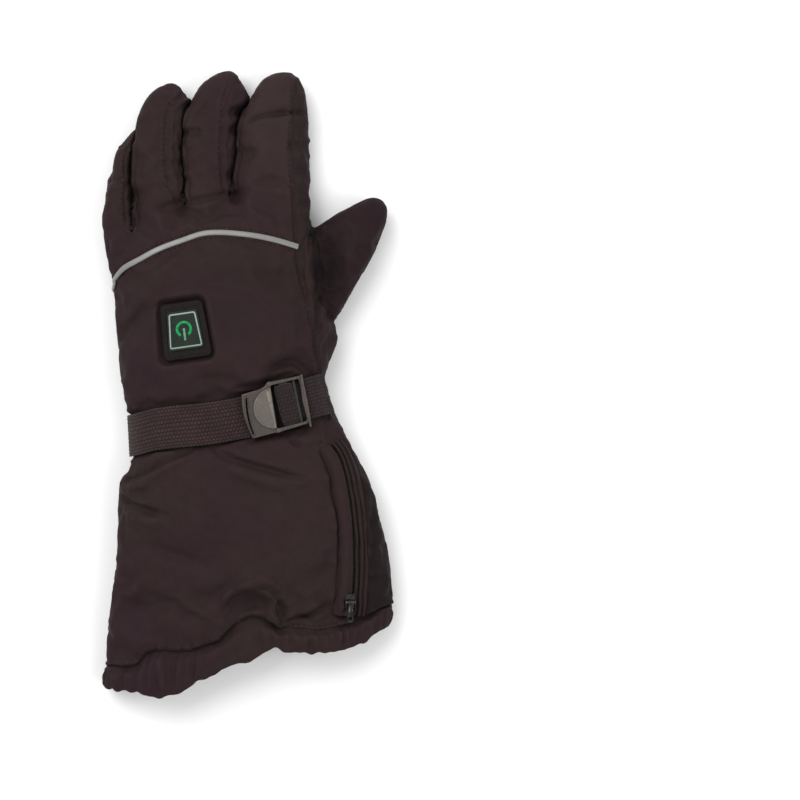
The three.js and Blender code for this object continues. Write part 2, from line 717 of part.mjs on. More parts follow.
function powerBar() {
  const { line, barEnd, thick, up } = powerMark;
  const shape = new THREE.Shape([
    new THREE.Vector2(-line / 2, up - barEnd),
    new THREE.Vector2(line / 2, up - barEnd),
    new THREE.Vector2(line / 2, up + line / 2),
    new THREE.Vector2(-line / 2, up + line / 2),
  ]);
  return placed(plate(shape, markBase, markBase + thick), padSeat);
}

// The buckle lies on the strap: a slotted frame with a window, two bars and a half-moon pressing tab.
const strapLevel = (x, y) => skin(x, y) + seamGap + strapThick;
const buckleFoot = 0.8;
const buckleSeat = seatOn(
  strapLevel, buckle.x, buckle.y, buckle.turn, buckle.length * buckleFoot, buckle.leftWidth * buckleFoot,
);
const buckleHigh = buckle.low + buckle.thick;

function buckleFrame() {
  const half = buckle.length / 2;
  const outline = new THREE.Shape([
    new THREE.Vector2(-half, -buckle.leftWidth / 2), new THREE.Vector2(half, -buckle.rightWidth / 2),
    new THREE.Vector2(half, buckle.rightWidth / 2), new THREE.Vector2(-half, buckle.leftWidth / 2),
  ]);
  const slot = rectangle(-half + buckleSlot.start, -half + buckleSlot.end, buckleSlot.width);
  const view = rectangle(buckleWindow.start, buckleWindow.end, buckleWindow.width);
  outline.holes.push(new THREE.Path(slot.getPoints()), new THREE.Path(view.getPoints()));
  const cross = rectangle(crossBar.from, crossBar.to, barWidth);
  const grip = rectangle(gripBar.from, gripBar.to, barWidth);
  const tab = new THREE.Shape();
  tab.absarc(buckleTab.edge, 0, buckleTab.radius, Math.PI / 2, (3 * Math.PI) / 2, false);
  const pieces = [
    plate(outline, buckle.low, buckleHigh, buckle.bevel),
    plate(cross, buckle.low + crossBar.low, buckle.low + crossBar.high),
    plate(grip, buckle.low + gripBar.low, buckleHigh),
    plate(tab, buckleHigh - buckleTab.root, buckleHigh + buckleTab.thick, buckleTab.bevel, 9),
  ];
  return placed(join(pieces), buckleSeat);
}

// The short webbing that holds the buckle: a loop round its cross bar and a tail to the side seam
function buckleAnchor(grow) {
  const thick = anchor.thick + 2 * grow;
  const around = seamGap + anchor.thick + grow;
  const low = buckle.low + crossBar.low - around;
  const high = buckle.low + crossBar.high + around;
  const from = crossBar.from - around;
  const to = crossBar.to + around;
  const round = 0.7;
  const tailEnd = anchor.end + grow;
  const tailLow = anchor.tailLow - grow;
  const endLow = anchor.endLow - grow;
  const outline = new THREE.Shape([
    new THREE.Vector2(from, low + round),
    new THREE.Vector2(from + round, low),
    new THREE.Vector2(to, low),
    new THREE.Vector2(to + 2 * round, tailLow),
    new THREE.Vector2(anchor.bend, tailLow),
    new THREE.Vector2(tailEnd, endLow),
    new THREE.Vector2(tailEnd, endLow + thick),
    new THREE.Vector2(anchor.bend, tailLow + thick),
    new THREE.Vector2(to + 2 * round, tailLow + thick),
    new THREE.Vector2(to, low + thick),
    new THREE.Vector2(to, high - round),
    new THREE.Vector2(to - round, high),
    new THREE.Vector2(from + round, high),
    new THREE.Vector2(from, high - round),
  ]);
  outline.holes.push(new THREE.Path([
    new THREE.Vector2(from + thick, low + thick),
    new THREE.Vector2(to - thick, low + thick),
    new THREE.Vector2(to - thick, high - thick),
    new THREE.Vector2(from + thick, high - thick),
  ]));
  const width = anchor.width + 2 * grow;
  const geometry = new THREE.ExtrudeGeometry(outline, { depth: width, bevelEnabled: false });
  geometry.rotateX(Math.PI / 2).translate(0, width / 2, 0);
  return placed(solidOf(geometry), buckleSeat);
}

// The zip in the side of the gauntlet
function zipPiece({ from, to, low, high }) {
  return sweepOn(skin, zipLine, box(from, to, low, high), zipper.steps);
}

const sliderSeat = seatOn(skin, slider.x, slider.y, slider.turn, slider.length, slider.width);
const pinHeight = slider.high + seamGap + pin.hub;

function roundBar(radius, fromSide, toSide, height) {
  const geometry = new THREE.CylinderGeometry(radius, radius, toSide - fromSide, 8);
  return solidOf(geometry.translate(0, (fromSide + toSide) / 2, height));
}

function roundedPlate({ length, width, corner, bevel }, low, high) {
  const shape = trapezoid({ topWidth: length, bottomWidth: length, height: width, corner });
  return plate(shape, low, high, bevel);
}

// The slider carries the pull's pin between two ears.
function zipSlider() {
  const inside = pull.width / 2 + seamGap;
  const outside = inside + pin.ear;
  const earLow = slider.high - pin.root;
  const earHigh = pinHeight + pin.earTop;
  const block = roundedPlate(slider, slider.low, slider.high);
  const ears = [-1, 1].map((side) => {
    const ear = new THREE.BoxGeometry(2 * pin.hub, pin.ear, earHigh - earLow);
    return solidOf(ear.translate(0, (side * (inside + outside)) / 2, (earHigh + earLow) / 2));
  });
  const bar = roundBar(pin.radius, pin.root - outside, outside - pin.root, pinHeight);
  return placed(join([block, ...ears, bar]), sliderSeat);
}

function zipPull() {
  const half = pull.width / 2;
  const blade = roundedPlate(pull, pinHeight - pull.thick / 2, pinHeight + pull.thick / 2);
  const hub = roundBar(pin.hub, -half, half, pinHeight);
  const hole = roundBar(pin.hole, -pull.width, pull.width, pinHeight);
  return placed(blade.translate([pull.length / 2, 0, 0]).add(hub).subtract(hole), sliderSeat);
}

// The gathered hem: a tube of cloth from the hem seam to the waved edge, drawn into small pleats
function hemRing({ down, grow, pleat, past }, topCount, bottomCount) {
  const section = {
    ...bodyRows[bodyRows.length - 1],
    leftX: hem.leftX - hem.leftFlare * down,
    rightX: hem.rightX - hem.rightDraw * down,
    top: hem.top - hem.drop * down,
  };
  return ringAngles(topCount, bottomCount).map((angle, index) => {
    const point = sectionPoint(section, bodySection, angle, grow + (index % 2 ? pleat : 0));
    point.y = THREE.MathUtils.lerp(lineHeight(hemSeam, point.x), lineHeight(hemEdge, point.x), down) - past;
    point.z = Math.max(point.z, 0);
    return point;
  });
}

function hemBand() {
  const outside = loft(hemOutside.map((row) => hemRing(row, hemTop, hemBottom)), hemTop);
  const inside = loft(hemInside.map((row) => hemRing(row, hollowTop, hollowBottom)), hollowTop);
  return outside.subtract(inside).intersect(beside(hemTrim, 0, -1));
}

// Sewing pattern: the shell is split along its seams, and each piece makes room for what lies on it.
const strapMiddle = [-100, -60, -30, -4, 16, 36, 48, 100].map((x) => {
  const angle = Math.acos(THREE.MathUtils.clamp((x - wristMiddle) / wristHalf, -1, 1));
  return { x, y: bodyPoint((strapUpperRow + strapLowerRow) / 2, angle, 0).y };
});
const sideLong = [...sideSeam, { x: 44.5, y: -60 }];
const zipLong = [
  ...table(lineColumns, [[39.5, 20], [39.5, -4.6], [43.5, -26]]),
  ...zipLine,
  { x: 57.6, y: -200 },
];
const pipingLong = [
  ...table(lineColumns, [[-100, 50], [-82, 57.5], [-78.6, 62]]),
  ...pipingLine,
  { x: 100, y: 70 },
];
const hemTrim = [];
for (let x = -96; x <= 96; x += 12) {
  hemTrim.push({ x, y: lineHeight(hemSeam, x) });
}

function clearances() {
  const { channelHalf, channelDepth, channelHigh } = zipper;
  return join([
    pipingSolid(pipingRadius + seamGap),
    switchPadClearance(),
    strapSolid(0, 3 * strapThick, seamGap),
    buckleAnchor(seamGap),
    zipPiece({ from: -channelHalf, to: channelHalf, low: -channelDepth, high: channelHigh }),
  ]);
}

function clothPieces() {
  const above = slab(palmSeamHeight + seamGap / 2, far);
  const below = slab(-far, palmSeamHeight - seamGap / 2);
  const room = clearances();
  const cut = shell.subtract(room);
  const upper = cut.intersect(above);
  const lower = cut.intersect(below);
  const handSide = beside(strapMiddle, 0, 1);
  const cuffSide = beside(strapMiddle, 0, -1).intersect(beside(hemTrim, 0, 1));
  const handUpper = upper.intersect(handSide);
  const cuffUpper = upper.intersect(cuffSide);
  const backs = handUpper.intersect(beside(sideLong, -1, 0));
  const thumbSide = handUpper.intersect(beside(sideLong, 1, 0));
  const spaces = fourchettes.map((fourchette) => fourchetteSpace(fourchette, 0));
  const grownSpaces = join(fourchettes.map((fourchette) => fourchetteSpace(fourchette, seamGap)));
  const pieces = {
    palm_panel: lower.intersect(handSide),
    knuckle_panel: backs.intersect(beside(pipingLong, 0, 1)).subtract(grownSpaces),
    back_panel: backs.intersect(beside(pipingLong, 0, -1)),
    side_panel: thumbSide.subtract(grownSpaces),
    thumb_back: thumb.intersect(above),
    thumb_palm: thumb.intersect(below),
    gauntlet_palm: lower.intersect(cuffSide),
    gauntlet_back: cuffUpper.intersect(beside(zipLong, -1, 0)),
    gauntlet_gusset: cuffUpper.intersect(beside(zipLong, 1, 0)),
  };
  fourchettes.forEach(({ name }, index) => {
    pieces[name] = backs.add(thumbSide).intersect(spaces[index]);
  });
  return Object.fromEntries(Object.entries(pieces).map(([name, solid]) => [name, largestPiece(solid)]));
}

// Materials
const materials = {
  shellCloth: { color: 0x3a2e30, roughness: 0.78, metalness: 0 },
  sideCloth: { color: 0x352a2b, roughness: 0.8, metalness: 0 },
  webbing: { color: 0x3b2529, roughness: 0.85, metalness: 0 },
  reflective: { color: 0xb4b2b2, roughness: 0.45, metalness: 0.1 },
  switchRubber: { color: 0x171213, roughness: 0.5, metalness: 0 },
  frameInk: { color: 0xbfe5d0, roughness: 0.5, metalness: 0 },
  powerLight: { color: 0x16c455, roughness: 0.4, metalness: 0 },
  bucklePlastic: { color: 0x4a423d, roughness: 0.4, metalness: 0 },
  zipTape: { color: 0x241c1d, roughness: 0.9, metalness: 0 },
  zipMetal: { color: 0x8d8780, roughness: 0.35, metalness: 0.8 },
};

const glove = new THREE.Group();
glove.position.set(centring.x, centring.y, 0);

function addPiece(name, solid, material) {
  const mesh = new THREE.Mesh(geometryOf(solid), new THREE.MeshStandardMaterial(materials[material]));
  mesh.name = name;
  glove.add(mesh);
}

for (const [name, solid] of Object.entries(clothPieces())) {
  const side = name === 'side_panel' || name.startsWith('fourchette');
  addPiece(name, solid, side ? 'sideCloth' : 'shellCloth');
}
addPiece('hem_band', hemBand(), 'shellCloth');
addPiece('wrist_strap', strap, 'webbing');
addPiece('reflective_piping', piping, 'reflective');
addPiece('switch_pad', switchPad(), 'switchRubber');
addPiece('switch_key', switchKey(), 'switchRubber');
addPiece('switch_frame', switchFrame(), 'frameInk');
addPiece('power_ring', powerRing(), 'powerLight');
addPiece('power_bar', powerBar(), 'powerLight');
addPiece('buckle_frame', buckleFrame(), 'bucklePlastic');
addPiece('buckle_anchor', buckleAnchor(0), 'webbing');
for (const strip of zipStrips) {
  addPiece(strip.name, zipPiece(strip), strip.material);
}
addPiece('zip_slider', zipSlider(), 'zipMetal');
addPiece('zip_pull', zipPull(), 'zipMetal');

export default glove;
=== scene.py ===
import math

import bpy
import numpy as np
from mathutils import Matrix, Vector, geometry, noise
from mathutils.bvhtree import BVHTree
from mathutils.kdtree import KDTree


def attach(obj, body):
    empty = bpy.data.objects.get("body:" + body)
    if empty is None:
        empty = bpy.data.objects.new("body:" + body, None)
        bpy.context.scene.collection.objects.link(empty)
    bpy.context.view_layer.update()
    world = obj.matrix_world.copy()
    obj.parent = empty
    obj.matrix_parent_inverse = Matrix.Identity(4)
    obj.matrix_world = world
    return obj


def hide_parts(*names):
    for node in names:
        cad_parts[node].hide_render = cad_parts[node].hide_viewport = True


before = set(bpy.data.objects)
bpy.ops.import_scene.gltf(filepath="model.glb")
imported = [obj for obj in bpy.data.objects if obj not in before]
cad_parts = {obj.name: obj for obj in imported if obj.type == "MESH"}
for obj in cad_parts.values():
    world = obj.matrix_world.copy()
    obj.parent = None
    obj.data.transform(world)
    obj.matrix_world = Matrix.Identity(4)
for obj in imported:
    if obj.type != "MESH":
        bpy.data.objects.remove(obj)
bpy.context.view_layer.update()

# A heated winter motorcycle glove for the left hand. Shapes are worked out in millimetres and moved to the
# frame in metres when their mesh is made. +X is the thumb side, +Y the fingertips, +Z the back of the hand.
MM = 0.001
CENTRING = np.array([0.8, -0.4, 0.0])

# Cross-sections, a row for each: leftX, leftY, rightX, rightY, top, bottom, bow
BODY_ROWS = np.array([
    [-83.8, 85.8, 35.7, 114.8, 30, 2, 0],
    [-83.2, 77.7, 35.7, 99.8, 34, 0, 0],
    [-80.3, 63.2, 36.2, 80.6, 38, -1, 0],
    [-78.0, 45.8, 38.5, 61.5, 40, -1.5, 0],
    [-76.8, 28.4, 46.5, 44.5, 41, -1.5, 0],
    [-75.7, 13.9, 51.2, 27.0, 41.5, -1.5, 0],
    [-74.2, 2.0, 47.4, 16.5, 41, -1.5, 1],
    [-72.4, -8.5, 44.4, 9.5, 39.5, -1.5, 3],
    [-70.6, -15.3, 44.2, 4.6, 36.5, -1.5, 3.6],
    [-69.2, -40.3, 50.9, -18.9, 36, -1.5, 3.6],
    [-69.0, -46.2, 56.0, -29.0, 39.5, -1.5, 2],
    [-73.2, -53.5, 63.5, -43.5, 41, -1.5, 0],
    [-75.8, -66.1, 71.5, -59.5, 41, -1.5, 0],
    [-76.3, -84.7, 78.0, -80.4, 40, -1.5, 0],
    [-77.4, -107.9, 82.1, -100.0, 38.5, -1.5, 0],
    [-80.3, -131.9, 83.8, -113.3, 36.5, -1.5, 0],
    [-82.4, -150.4, 83.8, -122.5, 34.5, -1.5, 0],
    [-83.2, -166.5, 82.5, -129.5, 33, -1.5, 0],
])
INDEX_ROWS = np.array([
    [-11.9, 83.5, 34.5, 85.8, 31, 1, 0],
    [-8.2, 112.0, 35.2, 112.0, 30, -0.5, 0],
    [-4.5, 135.7, 35.1, 135.7, 28, -0.5, 0],
    [-1.6, 152.5, 34.5, 154.3, 27, -0.5, 0],
    [0.9, 163.0, 33.3, 165.3, 26, 0, 0],
    [4.3, 169.9, 31.6, 172.3, 24, 1, 0],
    [9.0, 176.0, 29.3, 177.5, 21, 3, 0],
    [15.6, 181.5, 24.6, 181.5, 15.5, 7.5, 0],
])
MIDDLE_ROWS = np.array([
    [-40.9, 83.5, -6.1, 83.5, 31, 1, 0],
    [-38.3, 107.0, -8.4, 112.0, 30, -0.5, 0],
    [-35.9, 135.7, -6.0, 135.7, 28, -0.5, 0],
    [-33.9, 152.0, -3.2, 152.0, 27, -0.5, 0],
    [-32.8, 163.0, -0.7, 163.0, 26, 0, 0],
    [-29.9, 171.7, -2.0, 171.7, 24, 1, 0],
    [-24.6, 177.5, -4.9, 177.5, 21, 3, 0],
    [-17.6, 181.8, -9.2, 181.8, 15.5, 7.5, 0],
])
RING_ROWS = np.array([
    [-68.7, 77.7, -35.7, 83.5, 30, 1, 0],
    [-65.8, 94.0, -38.2, 107.0, 29.5, -0.5, 0],
    [-64.4, 121.2, -37.4, 127.0, 27.5, -0.5, 0],
    [-64.2, 136.9, -36.4, 142.7, 26.5, -0.5, 0],
    [-63.6, 148.5, -35.3, 157.8, 25.5, 0, 0],
    [-61.8, 160.1, -35.4, 164.1, 23.5, 1, 0],
    [-58.3, 167.0, -36.6, 168.2, 20.5, 3, 0],
    [-50.9, 173.4, -41.6, 173.8, 15, 7.5, 0],
])
LITTLE_ROWS = np.array([
    [-80.5, 68.8, -63.5, 70.8, 27, 1, 0],
    [-83.9, 83.5, -64.5, 80.6, 27.5, 0, 0],
    [-84.4, 98.0, -66.4, 91.6, 26.5, -0.5, 0],
    [-83.2, 111.4, -65.8, 106.7, 25.5, -0.5, 0],
    [-80.9, 123.0, -65.4, 120.6, 24, -0.5, 0],
    [-78.0, 132.2, -65.2, 131.1, 22, 0.5, 0],
    [-74.9, 138.6, -65.6, 138.3, 19, 3, 0],
    [-71.0, 144.8, -66.9, 144.8, 14, 8, 0],
])
THUMB_ROWS = np.array([
    [21.8, 70.8, 40.3, 19.7, 28, 3, 0],
    [31.6, 81.8, 49.6, 33.6, 29.5, 1, 0],
    [40.3, 91.6, 56.0, 47.6, 30.5, 0, 0],
    [49.6, 98.6, 64.7, 63.2, 30, -0.5, 0],
    [58.9, 103.2, 72.2, 77.7, 28.5, -0.5, 0],
    [65.8, 106.1, 77.4, 89.9, 25, 1, 0],
    [71.0, 107.6, 79.8, 98.6, 20.5, 4, 0],
    [75.7, 107.3, 79.5, 104.1, 15, 8.5, 0],
])
FINGER_ROWS = (INDEX_ROWS, MIDDLE_ROWS, RING_ROWS, LITTLE_ROWS)

# Shapes of the sections: share of the height where they are widest, power above, power below
DIGIT_SHAPE = (0.42, 2.35, 3.0)
BODY_SHAPE = (0.4, 2.5, 4.0)
STRAP_ROW = 8
HEM_OVERLAP = 3.0
PAST_HEM = 16.0

# Broad folds on the top of the cloth: three points in plan, height, width
FOLD_ROWS = np.array([
    [-68.2, -56.3, -52.5, -49.9, -31, -37, 2.2, 6],
    [-70, -63, -55, -58, -33, -45, -1.8, 6],
    [-15.4, -40.4, 3.2, -48.1, 25.2, -53.7, 2, 6],
    [-14, -48, 3, -56, 24, -62, -1.6, 6],
    [-72.2, -65.5, -62.9, -71.9, -52, -76, 2, 6],
    [-56, -92.8, -43, -98.5, -29.9, -103.2, -1.6, 8],
    [-13, -131, -2, -123, 5.5, -118, 2.4, 7],
    [5.5, -118, 14.8, -123.5, 16, -137, 2.6, 7],
    [-4, -138, 5, -130, 8, -128, -2.8, 8],
    [24, -141, 35, -133, 45, -129, -2, 7],
    [-50.2, 48, -60, 39, -70, 30, -1.8, 5],
    [11, 7, 24.1, 12.8, 35, 9, -1.8, 5],
    [30, 62, 34, 50, 36, 34, -2, 6],
    [-42, 96, -24, 99, -6, 103, -1.6, 6],
])

# Narrower creases and ridges of the worn cloth, written as the folds are
CREASE_ROWS = np.array([
    [-51.6, 98.9, -43.8, 104.1, -38.6, 106.4, -1.3, 2.2],
    [-40.5, 105.2, -27.0, 106.4, -5.6, 111.6, -2.0, 2.0],
    [-34, 103.0, -27, 103.4, -14, 107.0, 0.6, 3.0],
    [4.9, 116.3, 12.8, 118.0, 24.0, 117.2, -1.4, 2.8],
    [5.5, 111.5, 13, 113.0, 23.5, 112.4, 0.8, 3.2],
    [-2.6, 149.6, 7.5, 153.9, 21.0, 156.7, -2.2, 1.4],
    [14.0, 155.9, 25.0, 157.3, 38.0, 157.0, -2.2, 1.4],
    [1.5, 158.0, 9.0, 161.0, 28.0, 163.0, 0.9, 4.5],
    [-33.4, 145.6, -25.2, 145.3, -16.8, 145.6, -1.0, 2.4],
    [-33.0, 149.6, -25.2, 149.5, -17.5, 149.6, 0.6, 3.0],
    [-63.8, 118.9, -58.9, 118.3, -54.2, 118.9, -0.9, 2.4],
    [-80.3, 87.6, -74.5, 87.3, -69.0, 88.2, -1.0, 2.4],
    [-73.5, 26.7, -65.8, 33.2, -57.1, 41.9, 1.2, 2.4],
    [-71.0, 32.0, -63.0, 39.0, -56.0, 46.5, -1.0, 2.6],
    [-72.0, 20.0, -63.0, 26.0, -55.0, 33.0, -0.7, 3.0],
    [-68.0, 8.0, -60.0, 5.0, -48.0, 1.0, -0.8, 3.4],
    [-27.1, 58.0, -12.5, 59.7, 2.6, 56.3, -0.9, 7.0],
    [-22.0, 66.0, -8.0, 70.0, 12.0, 67.0, 0.8, 6.0],
    [12.0, 4.2, 19.0, 11.4, 27.0, 11.8, -2.0, 2.2],
    [22.0, 12.3, 29.9, 10.2, 34.5, 5.6, -1.8, 2.2],
    [11.0, 12.0, 18.0, 18.0, 30.0, 17.0, 1.2, 3.8],
    [-6.8, 2.3, -4.4, 7.5, -2.0, 12.2, 0.7, 3.6],
    [-24.0, 3.5, -12.0, 4.0, 0.0, -1.0, -0.9, 4.0],
    [-78.0, -63.0, -65.0, -70.9, -46.0, -76.0, -5.0, 2.3],
    [-74.0, -70.0, -62.0, -78.0, -48.0, -82.0, 1.9, 4.0],
    [-59.2, -92.0, -43.2, -97.2, -23.3, -103.8, -1.6, 3.4],
    [-58.0, -101.0, -44.0, -104.0, -29.0, -110.0, 0.8, 5.0],
    [-24.0, -33.5, -6.0, -45.0, 33.0, -55.8, -5.0, 2.3],
    [-19.0, -38.0, -13.0, -41.5, -6.0, -45.0, -1.6, 5.0],
    [-14.0, -49.0, 5.0, -55.0, 26.0, -62.0, 2.3, 4.4],
    [24.0, -56.5, 33.0, -57.0, 38.0, -51.0, 1.2, 2.4],
    [-70.0, -48.6, -55.0, -44.5, -40.0, -37.5, 1.4, 2.6],
    [-76.0, -58.5, -54.0, -49.0, -26.0, -33.5, -4.8, 2.3],
    [-71.5, -57.0, -66.0, -59.8, -55.0, -57.5, 1.4, 2.4],
    [-73.5, -62.0, -70.0, -64.0, -66.5, -62.0, 1.0, 1.8],
    [-18.0, -129.0, -6.5, -118.5, 6.0, -112.8, 1.8, 3.2],
    [-16.0, -134.0, -4.5, -122.5, 8.0, -117.4, -4.0, 2.6],
    [-10.0, -132.0, 1.0, -126.0, 13.0, -126.0, -4.0, 4.6],
    [-8.0, -136.2, 1.0, -131.8, 10.0, -131.5, 2.0, 1.8],
    [-14.0, -146.0, -4.0, -139.0, 9.0, -135.9, -1.6, 1.6],
    [3.0, -112.0, 13.0, -112.5, 21.5, -121.0, 1.8, 2.8],
    [5.0, -117.2, 14.0, -117.5, 19.5, -125.0, -3.4, 2.4],
    [17.5, -121.5, 20.0, -131.0, 20.5, -142.0, -4.6, 2.4],
    [13.2, -131.5, 16.0, -134.5, 19.5, -139.0, 1.8, 1.4],
    [22.5, -124.0, 25.0, -131.0, 27.5, -136.0, 1.4, 2.8],
    [19.0, -141.0, 33.0, -134.8, 48.0, -127.5, -3.0, 2.2],
    [26.0, -135.0, 35.0, -130.0, 45.0, -125.0, 1.0, 3.0],
    [-78.0, -120.0, -70.0, -124.0, -56.0, -128.0, -0.9, 4.0],
    [-46.0, -76.0, -20.0, -84.0, 12.0, -80.0, 0.8, 9.0],
    [-30.0, -122.0, -10.0, -108.0, 16.0, -98.0, 0.7, 8.0],
    [24.0, -31.6, 27.0, -34.5, 31.5, -36.0, -3.4, 2.4],
    [71.5, -54.0, 73.5, -84.0, 73.0, -116.0, -0.9, 2.2],
    [74.5, -60.0, 77.0, -86.0, 76.5, -114.0, 0.8, 2.4],
    [41.5, 57.4, 45.2, 48.1, 50.1, 37.1, -1.9, 2.4],
    [40.0, 54.3, 40.9, 38.9, 39.7, 22.0, -2.2, 1.9],
    [43.6, 50.0, 44.6, 36.0, 43.4, 20.0, 1.1, 2.2],
    [34.4, 86.0, 35.2, 66.0, 37.0, 46.0, 2.8, 3.0],
    [40.0, 86.0, 40.6, 68.0, 41.0, 50.0, -3.4, 2.0],
    [44.5, 82.0, 48.0, 69.0, 48.5, 54.0, -6.0, 6.0],
    [57.5, 80.0, 58.0, 69.0, 56.0, 58.0, 1.2, 3.4],
    [52.0, 92.0, 58.0, 84.0, 65.0, 78.0, -0.7, 3.4],
    [60.0, 98.0, 66.0, 91.0, 73.0, 86.0, -0.6, 3.0],
    [-58.0, 41.5, -41.0, 46.8, -24.5, 49.8, -1.1, 1.7],
    [-56.0, 45.5, -40.0, 50.6, -23.0, 53.2, 0.7, 2.6],
])

# Seams in plan, as x, y
SIDE_SEAM = np.array([
    [26.6, 200], [26.6, 177], [26.0, 157], [24.9, 136], [26.4, 111], [27.4, 94], [28.0, 81.5],
    [29.2, 68.5], [34.2, 49], [36.7, 37], [38.4, 28.5], [39.4, 8], [39.5, -4.6], [43.5, -26], [44.5, -60],
])
PIPING_SEAM = np.array([
    [-100, 50], [-82, 57.5], [-75.0, 64.0], [-62.6, 71.7], [-53.9, 76.5], [-45.3, 80.1], [-36.8, 83.0],
    [-26.6, 86.6], [-19.8, 87.3], [-11.4, 87.1], [-2.9, 86.3], [5.5, 85.2], [14.0, 83.5], [22.3, 81.3],
    [28.9, 79.3], [100, 70],
])
ZIP_LINE = np.array([
    [44.9, -32.5], [50.4, -42], [53.8, -51], [56.8, -65.5], [58.9, -83.5], [59.4, -106.1], [58.6, -120],
    [57.6, -134],
])
ZIP_SEAM = np.concatenate([[[39.5, 20], [39.5, -4.6], [43.5, -26]], ZIP_LINE, [[57.6, -200]]])
HEM_SEAM = np.array([
    [-96, -165.8], [-82.0, -165.2], [-67.7, -164.6], [-63.4, -162.9], [-58.2, -157.3], [-53.6, -155.6],
    [-33.3, -155.6], [-28.8, -153.9], [-17.3, -149.9], [-12.7, -147.0], [-8.2, -142.4], [-3.6, -139.0],
    [3.2, -135.9], [11.0, -138.2], [18.9, -143.8], [25.0, -142.4], [42.6, -143.2], [62.4, -138.2],
    [79.2, -130.4], [96, -127],
])
HEM_EDGE = np.array([
    [-96, -176], [-84.0, -176.3], [-76.9, -177.5], [-66.4, -178.1], [-53.7, -181.5], [-43.0, -179.6],
    [-36.3, -176.3], [-28.1, -171.7], [-21.2, -168.8], [-10.7, -162.6], [-2.6, -161.6], [6.7, -157.2],
    [16.6, -152.6], [22.5, -155.0], [36.8, -155.1], [49.6, -155.2], [58.9, -152.5], [65.8, -150.2],
    [72.8, -145.6], [82.1, -140.2], [96, -134],
])
PALM_SEAM_HEIGHT = 7.5
FOURCHETTE_TOP = 10.8

# For each pair of fingers, from the thumb side: the seam on the left finger's top, the gap between the two
# and how far towards the tips they touch
FOURCHETTE_SEAMS = [
    np.array([[-6.5, 200], [-10, 176], [-13.6, 162], [-15.4, 138], [-14.2, 115.4], [-9.6, 109], [-8.3, 104]]),
    np.array([[-36, 200], [-39.5, 168], [-45.5, 160], [-47.3, 141.5], [-46, 118], [-40, 105], [-38.3, 99]]),
    np.array([[-68, 200], [-70, 140], [-71.2, 128], [-71.5, 114], [-71, 98], [-68.6, 89], [-66.5, 84]]),
]
FINGER_GAPS = [
    np.array([[0.5, 200], [0.5, 165.4], [-3.3, 158.9], [-5.6, 152.8], [-7.0, 147], [-8.3, 131], [-9.6, 117],
              [-9.8, 111.5]]),
    np.array([[-33, 200], [-33.4, 165.4], [-36.6, 158.5], [-38.7, 143], [-37.9, 125], [-37.2, 109],
              [-37.2, 105.5]]),
    np.array([[-65.5, 190], [-66.0, 146.7], [-67.4, 138], [-68.2, 124], [-67.8, 98], [-67.0, 89.5]]),
]
# The gaps between the sections of neighbouring fingers, before each is fitted to its neighbours
ROW_GAPS = [
    np.array([[-1, 200], [0.3, 172], [-1.2, 155], [-5.2, 135.7], [-7.8, 113], [-8.3, 104]]),
    np.array([[-33, 200], [-34.2, 163], [-35.4, 150], [-36.7, 135.7], [-38.2, 109], [-38.3, 99]]),
    np.array([[-62.5, 190], [-64.7, 143], [-64.8, 130], [-65.3, 110], [-66.2, 92], [-66.5, 84]]),
]
NOTCHES = (165.4, 165.4, 146.7)
TOUCH = 0.15

# The outline in plan, seen from above. Each fingertip's runs from its thumb side over the tip to its other
# side.
INDEX_SIDE = [[36.0, 84.0], [36.0, 90.0], [36.2, 102.8], [36.0, 115.6], [35.4, 124.1], [34.7, 142.0]]
FINGERTIPS = [
    [[34.5, 153.9], [33.6, 164.1], [32.7, 169.7], [30.9, 174.3], [28.8, 178.1], [25.8, 180.4], [22.4, 181.5],
     [17.3, 181.4], [13.1, 180.1], [8.8, 177.7], [5.4, 173.9], [2.8, 169.7], [0.75, 165.6]],
    [[0.2, 165.6], [-1.0, 169.7], [-2.7, 173.0], [-5.2, 176.8], [-7.4, 180.3], [-9.9, 182.0], [-14.2, 182.2],
     [-18.4, 180.7], [-23.5, 177.7], [-27.8, 174.3], [-30.3, 170.5], [-32.5, 165.6]],
    [[-33.3, 165.5], [-35.0, 166.2], [-37.1, 168.8], [-39.7, 172.2], [-42.7, 174.6], [-46.5, 175.2],
     [-49.9, 173.9], [-53.3, 172.2], [-57.5, 168.8], [-60.1, 165.4], [-62.6, 160.7], [-64.8, 154.7],
     [-65.7, 151.3], [-65.9, 148.0]],
    [[-66.2, 148.0], [-68.6, 146.4], [-71.6, 142.9], [-75.0, 138.2], [-77.1, 134.7], [-78.4, 130.0]],
]
LITTLE_SIDE = [[-79.7, 123.7], [-81.8, 119.8], [-82.7, 115.6], [-83.5, 107.1], [-84.8, 96.9], [-84.6, 90.1],
               [-83.9, 83.3]]
THUMB_OUTLINE = np.array([
    [49.9, 36.3], [55.0, 44.7], [60.7, 54.9], [66.4, 64.6], [71.3, 72.7], [74.5, 80.1], [77.4, 87.4],
    [79.8, 94.3], [80.4, 102.6], [77.8, 106.4], [75.7, 107.9], [72.9, 108.6], [68.8, 107.9], [64.0, 105.7],
    [58.2, 102.8], [51.7, 99.4], [45.2, 95.1], [36.3, 89.7],
])
LEFT_OUTLINE = np.array(LITTLE_SIDE[2:] + [
    [-82.7, 75.6], [-80.5, 65.4], [-78.8, 59.5], [-78.0, 51.0], [-77.4, 39.4], [-76.3, 27.8], [-75.7, 16.2],
    [-74.5, 4.6], [-72.2, -7.0], [-70.3, -20.0], [-70.0, -30.0], [-69.6, -41.0], [-68.0, -46.6],
    [-69.5, -50.5], [-73.0, -53.8], [-74.8, -58.0], [-75.7, -65.0], [-76.3, -76.6], [-76.3, -94.0],
    [-77.4, -105.6], [-79.7, -125.3], [-82.0, -140.4], [-82.7, -152.0], [-83.2, -170.0],
])
